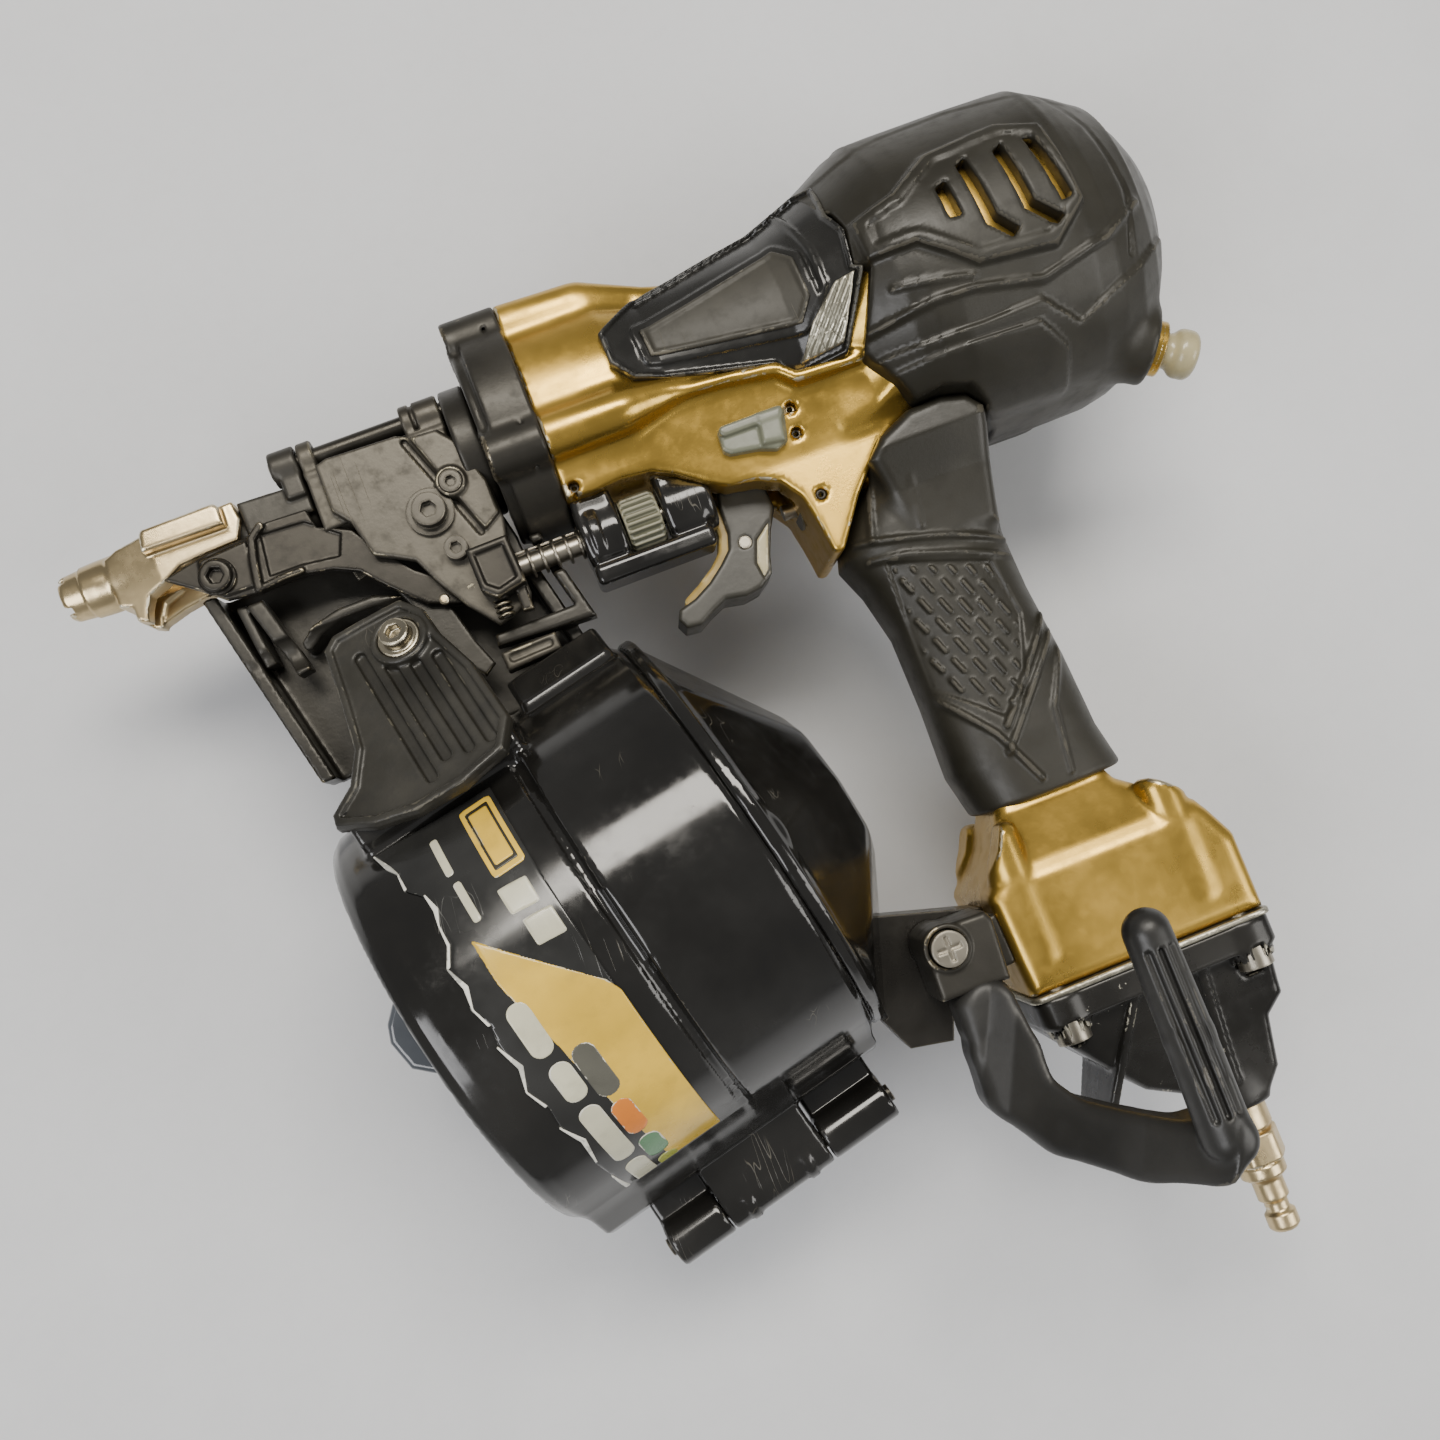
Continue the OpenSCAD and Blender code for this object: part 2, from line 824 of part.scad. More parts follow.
module door_bolts() {
    color("silver") {
        difference() {
            z_rod(12.5, 13.5, 5.6, [87.3, -13.3]);
            z_rod(12, 15, 4, [87.3, -13.3]);
        }
        socket_head([87.3, -13.3], 3.9, 12.6);
        socket_head([90, -23.6], 2.8, 12.6);
        socket_head([94.2, -8.6], 2.6, 12.6);
    }
}

module door_latch() {
    color("dimgray") union() {
        plate([12.8, 19.4], [[91.4, -29.6], [100.4, -30.4], [101, -38], [95, -40.4],
            [90.6, -36]]);
        block([92, 97], [-31, -25.8], [12.8, 15]);
    }
}

module duster_button() {
    color("beige") at_duster() {
        x_rod(3, 25, 2);
        x_rod(24.6, 30.6, 6);
    }
}

body_housing();
head_cap();
rear_protector();
head_bolts();
head_gasket();
cylinder_liner();
piston_bumper();
nose_flange();
flange_bolts();
blade_guide();
feed_housing();
hinge_rod();
adjuster_housing();
side_panel_left();
side_panel_right();
side_badges();
side_inserts();
grip();
end_gasket();
end_cap();
end_cap_bolts();
air_plug();
hook_bracket();
belt_hook();
hook_screw();
magazine_base();
magazine_arm();
nail_post();
magazine_pin();
trigger_pin();
trigger_valve_body();
feed_cylinder();
piston();
piston_ring();
driver_blade();
head_valve();
head_valve_spring();
upper_arm();
contact_nose();
push_lever();
push_rod();
lever_bolt();
contact_spring();
adjuster_dial();
trigger();
trigger_face();
trigger_arm_pin();
trigger_arm();
valve_plunger();
valve_spring();
mode_switch();
nose_door();
door_bolts();
door_latch();
magazine_cover();
feed_door();
label_plate();
nail_tray();
feed_piston();
duster_button();
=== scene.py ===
import json
import math

import bpy
import numpy as np
from mathutils import Matrix, Vector


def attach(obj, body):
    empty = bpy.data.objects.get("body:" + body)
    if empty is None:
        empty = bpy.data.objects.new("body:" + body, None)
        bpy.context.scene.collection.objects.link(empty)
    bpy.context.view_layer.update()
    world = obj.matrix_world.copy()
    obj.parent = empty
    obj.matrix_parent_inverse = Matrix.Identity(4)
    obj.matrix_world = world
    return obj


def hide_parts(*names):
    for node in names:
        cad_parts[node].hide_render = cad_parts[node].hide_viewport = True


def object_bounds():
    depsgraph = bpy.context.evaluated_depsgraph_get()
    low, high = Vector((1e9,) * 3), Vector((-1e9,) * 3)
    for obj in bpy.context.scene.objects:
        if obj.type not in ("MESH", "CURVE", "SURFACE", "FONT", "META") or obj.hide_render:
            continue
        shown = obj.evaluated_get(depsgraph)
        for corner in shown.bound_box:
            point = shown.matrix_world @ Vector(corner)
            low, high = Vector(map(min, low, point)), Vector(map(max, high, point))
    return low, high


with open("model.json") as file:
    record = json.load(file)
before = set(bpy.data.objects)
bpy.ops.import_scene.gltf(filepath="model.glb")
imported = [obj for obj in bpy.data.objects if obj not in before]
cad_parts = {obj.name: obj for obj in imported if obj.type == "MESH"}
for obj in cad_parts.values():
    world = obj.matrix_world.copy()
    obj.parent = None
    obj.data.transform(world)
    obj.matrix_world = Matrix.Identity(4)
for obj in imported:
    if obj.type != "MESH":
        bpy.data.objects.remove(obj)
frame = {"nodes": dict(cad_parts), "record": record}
CAD_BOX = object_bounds()
MM = 0.001


# ---- Signed distances, in millimetres ----

def smin(a, b, k):
    h = np.clip(0.5 + 0.5 * (b - a) / k, 0, 1)
    return b + (a - b) * h - k * h * (1 - h)


def smax(a, b, k):
    return -smin(-a, -b, k)


def ramp(v, a, b):
    t = np.clip((v - a) / (b - a), 0, 1)
    return t * t * (3 - 2 * t)


def track(u, v, pts):
    """Distance to an open line of points in the plane (u, v)."""
    best = np.full(np.broadcast(u, v).shape, 1e9)
    for (ax, ay), (bx, by) in zip(pts, pts[1:]):
        ex, ey = bx - ax, by - ay
        wx, wy = u - ax, v - ay
        t = np.clip((wx * ex + wy * ey) / (ex * ex + ey * ey), 0, 1)
        best = np.minimum(best, (wx - ex * t) ** 2 + (wy - ey * t) ** 2)
    return np.sqrt(best)


def flat(u, v, pts):
    """Distance to a closed polygon in the plane (u, v)."""
    ring = pts + pts[:1]
    inside = np.zeros(np.broadcast(u, v).shape, bool)
    for (ax, ay), (bx, by) in zip(ring, ring[1:]):
        crossing = (v - ay) * (bx - ax) / (by - ay or 1e-9)
        inside = inside ^ (((ay <= v) != (by <= v)) & (u - ax < crossing))
    return np.where(inside, -1, 1) * track(u, v, ring)


def both(d, e, r=0.6):
    """Where two distances are both inside, with the edge rounded."""
    d, e = d + r, e + r
    return np.minimum(np.maximum(d, e), 0) + np.hypot(np.maximum(d, 0), np.maximum(e, 0)) - r


def slab(w, lo, hi):
    return np.abs(w - (lo + hi) / 2) - (hi - lo) / 2


def prism(u, v, w, pts, lo, hi, r=0.6):
    return both(flat(u, v, pts), slab(w, lo, hi), r)


def box(x, y, z, bx, by, bz, r=0.6):
    a, b, c = slab(x, *bx) + r, slab(y, *by) + r, slab(z, *bz) + r
    out = np.sqrt(np.maximum(a, 0) ** 2 + np.maximum(b, 0) ** 2 + np.maximum(c, 0) ** 2)
    return np.minimum(np.maximum(np.maximum(a, b), c), 0) + out - r


def rod(u, v, w, at, lo, hi, radius, r=0.4):
    """A cylinder along w, through at in the plane (u, v)."""
    return both(gap(u, v, at) - radius, slab(w, lo, hi), r)


def gap(u, v, at):
    """Distance to an axis that crosses the plane (u, v) at one point."""
    return np.hypot(u - at[0], v - at[1])


def stick(x, y, z, a, b, ra, rb):
    """A round bar between two points whose radius goes from ra to rb."""
    d = [q - p for p, q in zip(a, b)]
    n = sum(c * c for c in d)
    t = np.clip(((x - a[0]) * d[0] + (y - a[1]) * d[1] + (z - a[2]) * d[2]) / n, 0, 1)
    away = np.sqrt((x - a[0] - t * d[0]) ** 2 + (y - a[1] - t * d[1]) ** 2
                   + (z - a[2] - t * d[2]) ** 2)
    return away - ra - (rb - ra) * t


def hexagon(angle, r):
    """Distance from the centre, measured square to the nearest of six flats."""
    return np.cos((angle % (math.pi / 3)) - math.pi / 6) * r


# ---- Meshes ----

CONVEX_REACH = 0.9


def net(f, lo, hi, step):
    """Vertices and quads of the surface f = 0 in a box, and how convex it is at each vertex."""
    axes = [np.arange(a - step, b + 2 * step, step) for a, b in zip(lo, hi)]
    shape = tuple(len(a) for a in axes)
    field = np.broadcast_to(f(*np.meshgrid(*axes, indexing="ij", sparse=True)), shape)
    inside = field < 0
    cells = tuple(s - 1 for s in shape)
    count = np.zeros(np.prod(cells))
    total = np.zeros((3, count.size))
    rings = []
    for axis in range(3):
        low = tuple(slice(0, -1) if i == axis else slice(None) for i in range(3))
        high = tuple(slice(1, None) if i == axis else slice(None) for i in range(3))
        cross = inside[low] != inside[high]
        at = np.argwhere(cross)
        fa, fb = field[low][cross], field[high][cross]
        spot = at.astype(float)
        spot[:, axis] += fa / (fa - fb)
        p, q = (axis + 1) % 3, (axis + 2) % 3
        ring = []
        for dp, dq in ((0, 0), (-1, 0), (-1, -1), (0, -1)):
            c = at.copy()
            c[:, p] += dp
            c[:, q] += dq
            index = np.ravel_multi_index(c.T, cells, mode="clip")
            count += np.bincount(index, minlength=count.size)
            for i in range(3):
                total[i] += np.bincount(index, spot[:, i], count.size)
            ring.append(index)
        ring = np.array(ring).T
        rings.append(np.where(inside[low][cross][:, None], ring, ring[:, ::-1]))
    used = count > 0
    number = np.cumsum(used) - 1
    verts = (total[:, used] / count[used]).T * step + [a[0] for a in axes]

    def either_side(h):
        x, y, z = verts.T
        return ((f(x + h, y, z), f(x - h, y, z)), (f(x, y + h, z), f(x, y - h, z)),
                (f(x, y, z + h), f(x, y, z - h)))

    h = step * 0.3
    for _ in range(2):
        g = np.array([(a - b) / (2 * h) for a, b in either_side(h)])
        move = f(*verts.T) * g / np.maximum((g * g).sum(0), 0.1)
        verts = verts - np.clip(move, -step * 0.5, step * 0.5).T
    around = sum(a + b for a, b in either_side(CONVEX_REACH))
    convex = (around - 6 * f(*verts.T)) / (CONVEX_REACH * CONVEX_REACH)
    return verts, number[np.concatenate(rings)], convex


COARSE = 1.0
EDGE_LIMIT = 2


def show(name, data):
    obj = bpy.data.objects.new(name, data)
    bpy.context.scene.collection.objects.link(obj)
    return obj


def cast(name, body, material, f, lo, hi, step, stands_for=(), place=None, bend=None):
    """A piece made from a distance function in millimetres, bent by a rule for its points."""
    verts, faces, convex = net(f, lo, hi, step * COARSE)
    if bend:
        verts = bend(verts)
    if place is not None:
        verts = verts @ np.array(place.to_3x3()).T + np.array(place.translation)
    mesh = bpy.data.meshes.new(name)
    mesh.vertices.add(len(verts))
    mesh.vertices.foreach_set("co", (verts * MM).astype(np.float32).ravel())
    mesh.loops.add(faces.size)
    mesh.loops.foreach_set("vertex_index", faces.astype(np.int32).ravel())
    mesh.polygons.add(len(faces))
    mesh.polygons.foreach_set("loop_start", np.arange(0, faces.size, faces.shape[1]))
    mesh.update(calc_edges=True)
    mesh.validate()
    mesh.shade_smooth()
    mesh.attributes.new("edge", "FLOAT", "POINT").data.foreach_set(
        "value", np.clip(convex, -EDGE_LIMIT, EDGE_LIMIT).astype(np.float32))
    mesh.materials.append(material)
    obj = show(name, mesh)
    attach(obj, body)
    if stands_for:
        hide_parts(*stands_for)


# ---- Materials ----

class Graph:
    """A new material, and short ways to add nodes to it."""

    def __init__(self, name, color, rough, metal, coat, coat_rough, spec):
        self.material = bpy.data.materials.new(name)
        self.material.use_nodes = True
        self.tree = self.material.node_tree
        self.main = self.tree.nodes["Principled BSDF"].inputs
        for key, value in (("Base Color", color), ("Roughness", rough), ("Metallic", metal),
                           ("Coat Weight", coat), ("Coat Roughness", coat_rough),
                           ("Specular IOR Level", spec)):
            self.put(self.main[key], value)
        self.coords = self.tree.nodes.new("ShaderNodeTexCoord").outputs["Object"]

    def put(self, socket, value):
        if isinstance(value, bpy.types.NodeSocket):
            self.tree.links.new(value, socket)
        elif socket.type == "RGBA" and isinstance(value, tuple):
            socket.default_value = (*value, 1)
        else:
            socket.default_value = value

    def node(self, kind, inputs, **settings):
        """The outputs of a new node. Inputs are a dict, or a tuple in the node's own order."""
        node = self.tree.nodes.new("ShaderNode" + kind)
        for key, value in settings.items():
            setattr(node, key, value)
        if isinstance(inputs, tuple):
            inputs = dict(enumerate(inputs))
        for key, value in inputs.items():
            self.put(node.inputs[key], value)
        return node.outputs

    def stretched(self, scale, turn):
        return self.node("Mapping", {"Vector": self.coords, "Scale": scale, "Rotation": turn})[0]

    def noise(self, scale, detail=3.0, rough=0.55, vector=None, distortion=0.0):
        return self.node("TexNoise", {"Vector": vector or self.coords, "Scale": scale,
                                      "Detail": detail, "Roughness": rough,
                                      "Distortion": distortion})["Fac"]

    def cells(self, scale):
        """Distance to the nearest of a scatter of points."""
        return self.node("TexVoronoi", {"Vector": self.coords, "Scale": scale},
                         feature="F1")["Distance"]

    def math(self, op, a, b):
        return self.node("Math", (a, b), operation=op)[0]

    def step(self, value, lo, hi, out_lo=0.0, out_hi=1.0):
        return self.node("MapRange", (value, lo, hi, out_lo, out_hi),
                         interpolation_type="SMOOTHSTEP")[0]

    def mix(self, factor, a, b):
        return self.node("Mix", {"Factor": factor, "A": a, "B": b}, data_type="RGBA")["Result"]

    def bump(self, height, distance, strength, normal):
        inputs = {"Strength": strength, "Distance": distance, "Height": height}
        if normal:
            inputs["Normal"] = normal
        return self.node("Bump", inputs)[0]

    def edge(self):
        """How convex the mesh is, as stored by cast()."""
        return self.node("Attribute", {}, attribute_name="edge")["Fac"]

    def rounded_edge(self, radius):
        """How far a rounded normal departs from the true one, and that normal."""
        rounded = self.node("Bevel", {"Radius": radius}, samples=4)[0]
        true = self.node("NewGeometry", {})["Normal"]
        dot = self.node("VectorMath", (rounded, true), operation="DOT_PRODUCT")["Value"]
        return self.math("SUBTRACT", 1.0, dot), rounded


def scratches(g, scale, turn, amount):
    """Thin straight marks in one direction, only in patches."""
    lines = g.noise(scale, 1.0, 0.4, g.stretched((1, SCRATCH_STRETCH, 0.5), turn))
    thin = g.math("ABSOLUTE", g.math("SUBTRACT", lines, 0.5), 0.0)
    mark = g.step(thin, 0.0, SCRATCH_WIDTH, 1.0, 0.0)
    patch = g.step(g.noise(45, 2.0), 1 - amount, 1.06 - amount)
    return g.math("MULTIPLY", mark, patch)


SCRATCH_STRETCH = 0.02
SCRATCH_WIDTH = 0.008
CAD_EDGE_RADIUS = 0.0007
WEAR_DEPTH = 0.00008
SCRATCH_DEPTH = 0.00005


def finish(name, color, rough, metal=0.0, coat=0.0, coat_rough=0.1, spec=0.5, vary=0.25,
           grain=0.0, grain_scale=900, wear=None, wear_metal=0.0, wear_at=0.35, wear_rough=0.4,
           dirt=0.3, scratch=0.0, scratch_color=None, chips=0.0, cad=False, spots=0.0):
    """A worn surface: two scales of colour change, grain, scratches, rubbed edges and chips."""
    g = Graph(name, color, rough, metal, coat, coat_rough, spec)
    large, fine = g.noise(28, 4.0), g.noise(260, 3.0, 0.6)
    dark = tuple(c * (1 - vary) for c in color)
    light = tuple(min(1.0, c * (1 + vary) + 0.004) for c in color)
    tint = g.mix(g.step(large, 0.3, 0.7), dark, light)
    tint = g.mix(g.math("MULTIPLY", g.step(fine, 0.45, 0.75), dirt), tint,
                 tuple(c * 0.55 for c in color))
    roughness = g.step(large, 0.25, 0.75, max(0.03, rough - 0.09), min(1.0, rough + 0.1))
    roughness = g.math("ADD", roughness, g.step(fine, 0.4, 0.8, -0.03, 0.07))
    metallic, normal = metal, None
    if spots:
        dots = g.step(g.cells(150), 0.10, 0.2, 1.0, 0.0)
        dots = g.math("MULTIPLY", dots, g.step(g.noise(38, 2.0), 1.02 - spots, 1.1 - spots))
        tint = g.mix(dots, tint, (0.03, 0.025, 0.02))
        roughness = g.math("ADD", roughness, g.math("MULTIPLY", dots, 0.3))
    marks = None
    if scratch:
        one = scratches(g, 260, (0.2, 0.3, 0.9), scratch)
        two = scratches(g, 330, (0.5, 0.1, -0.6), scratch)
        marks = g.math("MAXIMUM", one, two)
        tint = g.mix(g.math("MULTIPLY", marks, 0.75), tint, scratch_color or light)
        roughness = g.math("ADD", roughness, g.math("MULTIPLY", marks, 0.22))
    if wear:
        if cad:
            edge, normal = g.rounded_edge(CAD_EDGE_RADIUS)
            edge = g.math("MULTIPLY", edge, 4.0)
        else:
            edge = g.edge()
        worn = g.math("MULTIPLY", edge, g.step(g.noise(95, 5.0, 0.7), 0.25, 0.75, 0.15, 1.6))
        worn = g.step(worn, wear_at, wear_at + 0.22)
        if chips:
            chip = g.step(g.noise(70, 6.0, 0.72, distortion=0.4), 1 - chips, 1.015 - chips)
            worn = g.math("MAXIMUM", worn, chip)
        tint = g.mix(worn, tint, wear)
        roughness = g.math("ADD", roughness,
                           g.math("MULTIPLY", worn, wear_rough - rough))
        if wear_metal != metal:
            metallic = g.math("ADD", metal, g.math("MULTIPLY", worn, wear_metal - metal))
        normal = g.bump(g.math("SUBTRACT", 1.0, worn), WEAR_DEPTH, 0.6, normal)
    if grain:
        normal = g.bump(g.noise(grain_scale, 3.0, 0.6), grain * MM, 1.0, normal)
    if marks:
        normal = g.bump(g.math("SUBTRACT", 1.0, marks), SCRATCH_DEPTH, 0.7, normal)
    for key, value in (("Base Color", tint), ("Roughness", roughness), ("Metallic", metallic)):
        g.put(g.main[key], value)
    if normal:
        g.put(g.main["Normal"], normal)
    return g.material


GOLD = (0.54, 0.345, 0.068)
gold = finish("gold_casting", GOLD, 0.3, 0.9, 0.06, 0.2, vary=0.10, grain=0.012,
              grain_scale=1500, wear=(0.66, 0.58, 0.40), wear_metal=1.0, wear_at=0.95,
              dirt=0.2, spots=0.2)
elastomer = finish("black_elastomer", (0.020, 0.0182, 0.0128), 0.42, vary=0.18, grain=0.02,
                   spec=0.4, grain_scale=1400, wear=(0.050, 0.045, 0.033), wear_at=1.0,
                   wear_rough=0.5)
gloss = finish("black_plastic", (0.009, 0.0085, 0.0075), 0.17, coat=0.3, vary=0.3, dirt=0.1,
               wear=(0.055, 0.05, 0.04), wear_at=1.5, scratch=0.4,
               scratch_color=(0.12, 0.11, 0.085))
matte_black = finish("black_matte", (0.013, 0.0125, 0.011), 0.42, vary=0.3, grain=0.03,
                     wear=(0.06, 0.055, 0.045), wear_at=1.3)
casting = finish("black_casting", (0.030, 0.0275, 0.022), 0.36, 0.5, vary=0.3, grain=0.03,
                 wear=(0.20, 0.175, 0.125), wear_metal=1.0, wear_at=1.65, wear_rough=0.3)
cap_paint = finish("worn_black_paint", (0.016, 0.015, 0.013), 0.28, 0.2, vary=0.3,
                   wear=(0.40, 0.38, 0.31), wear_metal=0.8, wear_at=1.5, chips=0.36)
nickel = finish("nickel", (0.62, 0.49, 0.28), 0.3, 1.0, vary=0.15, grain=0.02,
                wear=(0.8, 0.72, 0.54), wear_metal=1.0, wear_at=1.4, spots=0.2, dirt=0.4)
panel_black = finish("panel_black", (0.012, 0.0115, 0.010), 0.3, coat=0.1, vary=0.25,
                     wear=(0.05, 0.047, 0.038), wear_at=1.85, scratch=0.3,
                     scratch_color=(0.09, 0.085, 0.07), grain=0.01)
badge_dark = finish("badge_dark", (0.040, 0.037, 0.029), 0.5, vary=0.3, grain=0.02,
                    wear=(0.12, 0.11, 0.085), wear_at=1.6, scratch=0.45,
                    scratch_color=(0.12, 0.11, 0.085), spec=0.35)
bare_plate = finish("bare_plate", (0.30, 0.285, 0.22), 0.4, 0.7, vary=0.4, dirt=0.8,
                    wear=(0.62, 0.58, 0.46), wear_metal=1.0, wear_at=0.8, chips=0.45,
                    scratch=0.5, scratch_color=(0.03, 0.028, 0.024))
bare_edge = finish("bare_edge", (0.36, 0.34, 0.27), 0.36, 0.9, vary=0.25, dirt=0.5,
                   wear=(0.6, 0.57, 0.46), wear_metal=1.0, wear_at=1.2, chips=0.4)
grey = finish("grey_plastic", (0.145, 0.152, 0.108), 0.36, vary=0.15, dirt=0.4,
              wear=(0.27, 0.265, 0.2), wear_at=1.5, scratch=0.3,
              scratch_color=(0.24, 0.235, 0.18), grain=0.01)
cream = finish("cream_plastic", (0.40, 0.35, 0.20), 0.3, coat=0.2, vary=0.12, dirt=0.4,
               wear=(0.55, 0.5, 0.34), wear_at=1.4, grain=0.01)
worn_casting = finish("worn_casting", (0.062, 0.056, 0.044), 0.4, 0.6, vary=0.4, grain=0.03,
                      wear=(0.21, 0.19, 0.14), wear_metal=0.9, wear_at=1.5, wear_rough=0.36,
                      chips=0.34, scratch=0.4, scratch_color=(0.2, 0.18, 0.13), dirt=0.6)
oxide = finish("black_oxide", (0.024, 0.0215, 0.017), 0.32, 0.7, vary=0.35, grain=0.015,
               wear=(0.24, 0.21, 0.15), wear_metal=1.0, wear_at=1.6, wear_rough=0.3,
               scratch=0.3, scratch_color=(0.15, 0.13, 0.1))
bright_steel = finish("bright_steel", (0.42, 0.38, 0.29), 0.28, 1.0, vary=0.25, dirt=0.5,
                      wear=(0.66, 0.6, 0.46), wear_metal=1.0, wear_at=1.2, spots=0.3)
worn_plastic = finish("worn_plastic", (0.020, 0.0185, 0.014), 0.42, vary=0.5, grain=0.05,
                      wear=(0.075, 0.068, 0.05), wear_at=1.5, wear_rough=0.5, dirt=0.6,
                      scratch=0.4, scratch_color=(0.07, 0.064, 0.05), chips=0.34)
smoke = finish("smoked_window", (0.085, 0.095, 0.11), 0.16, coat=0.5, vary=0.2, dirt=0.2,
               wear=(0.13, 0.13, 0.125), wear_at=1.5, scratch=0.3,
               scratch_color=(0.1, 0.1, 0.09))
dial_paint = finish("dial_plastic", (0.115, 0.115, 0.075), 0.42, vary=0.2, dirt=0.5, grain=0.01,
                    wear=(0.24, 0.23, 0.16), wear_at=0.9)
trigger_dark = finish("trigger_plastic", (0.034, 0.032, 0.025), 0.38, vary=0.2, grain=0.02,
                      wear=(0.10, 0.094, 0.075), wear_at=1.5, scratch=0.3,
                      scratch_color=(0.09, 0.085, 0.07))
yellow = finish("yellow_plastic", (0.34, 0.235, 0.065), 0.38, vary=0.2, dirt=0.5, grain=0.015,
                wear=(0.46, 0.36, 0.15), wear_at=1.3)
label_dark = finish("label_dark", (0.020, 0.020, 0.019), 0.2, coat=0.3, vary=0.3, dirt=0.1,
                    wear=(0.12, 0.12, 0.11), wear_at=1.8, scratch=0.4,
                    scratch_color=(0.12, 0.12, 0.11))
label_gold = finish("label_gold", (0.70, 0.455, 0.05), 0.3, coat=0.3, vary=0.25, dirt=0.25,
                    wear=(0.55, 0.5, 0.35), wear_at=1.8, scratch=0.3,
                    scratch_color=(0.62, 0.58, 0.42))
label_print = finish("label_print", (0.03, 0.026, 0.016), 0.3, coat=0.3, vary=0.3,
                     wear=(0.3, 0.25, 0.12), wear_at=1.8)
label_paper = finish("label_paper", (0.42, 0.42, 0.38), 0.45, vary=0.3, dirt=0.7,
                     wear=(0.7, 0.69, 0.62), wear_at=1.0, grain=0.03)
print_paints = {
    name: finish("label_" + name, color, 0.28, coat=0.3, vary=0.15, dirt=0.3,
                 wear=(0.6, 0.58, 0.5), wear_at=1.8, scratch=0.3,
                 scratch_color=tuple(c * 0.5 for c in color))
    for name, color in (("white", (0.56, 0.54, 0.40)), ("grey", (0.10, 0.098, 0.08)),
                        ("orange", (0.72, 0.22, 0.03)), ("green", (0.07, 0.20, 0.08)),
                        ("lime", (0.36, 0.38, 0.06)))}
CAD_PAINTS = (
    ("steel", (0.36, 0.33, 0.27), 0.32, 1.0, 0.2, (0.6, 0.56, 0.46), {"dirt": 0.4}),
    ("black_steel", (0.05, 0.046, 0.038), 0.33, 0.8, 0.3, (0.42, 0.38, 0.3), {}),
    ("black_casting", (0.035, 0.032, 0.027), 0.36, 0.55, 0.3, (0.36, 0.32, 0.24),
     {"grain": 0.03}),
    ("nickel", (0.62, 0.53, 0.37), 0.3, 1.0, 0.15, (0.85, 0.78, 0.62), {}),
    ("aluminium", (0.5, 0.47, 0.4), 0.35, 1.0, 0.15, (0.75, 0.72, 0.64), {}),
    ("seal", (0.015, 0.015, 0.014), 0.5, 0.0, 0.2, (0.06, 0.06, 0.055), {}),
    ("black_elastomer", (0.022, 0.021, 0.018), 0.46, 0.0, 0.2, (0.07, 0.066, 0.056),
     {"grain": 0.02}),
    ("black_plastic", (0.008, 0.008, 0.007), 0.22, 0.0, 0.3, (0.08, 0.075, 0.065), {}),
    ("gold_casting", GOLD, 0.3, 0.9, 0.1, (0.72, 0.66, 0.52),
     {"coat": 0.15, "coat_rough": 0.2, "dirt": 0.15}),
    ("grey_plastic", (0.30, 0.29, 0.23), 0.38, 0.0, 0.12, (0.42, 0.4, 0.33), {}),
    ("dial_plastic", (0.17, 0.165, 0.11), 0.4, 0.0, 0.15, (0.3, 0.29, 0.2), {}),
    ("dark_plastic", (0.05, 0.047, 0.036), 0.4, 0.0, 0.2, (0.13, 0.12, 0.09), {}),
    ("yellow_plastic", (0.42, 0.26, 0.06), 0.42, 0.0, 0.12, (0.6, 0.45, 0.2), {}),
    ("cream_plastic", (0.42, 0.37, 0.22), 0.3, 0.0, 0.12, (0.6, 0.55, 0.4), {}),
    ("label", (0.5, 0.36, 0.06), 0.35, 0.0, 0.1, (0.7, 0.66, 0.5), {}))
LOOKS = {slot: finish("cad_" + slot, color, rough, metal, vary=vary, wear=wear,
                      wear_metal=1.0 if metal else 0.0, cad=True, **more)
         for slot, color, rough, metal, vary, wear, more in CAD_PAINTS}
for part in frame["record"]["subparts"]:
    mesh = frame["nodes"][part["node"]].data
    mesh.materials.clear()
    mesh.materials.append(LOOKS[part["material_slot"]])


# ---- Gold casting ----

BARREL = [(117.5, -9), (117.5, 24.2), (138, 24.2), (148, 20.6), (158, 20.8), (180, 22.8),
          (189, 26.4), (197, 30), (205, 33.6), (207, 33.6), (207, -9)]
ARCH = [(117.5, -4), (117.5, -22.8), (124, -23.2), (130.5, -22.6), (138, -23.4), (143, -26),
        (148.5, -30), (153.4, -32.6), (160, -33.6), (165, -36), (168.4, -41), (169.8, -49),
        (170.6, -56), (173, -56), (181, -45), (190, -35.5), (200, -30), (200, -4)]
END = [(186, -119), (209.6, -119), (213, -127.4), (226, -138), (231, -148), (231, -166),
       (174, -166), (173, -142), (180, -133), (183, -127)]
ROLL_PINS = [(120, -20.7), (173.2, -20.9), (172.5, -26.7), (172.7, -42)]


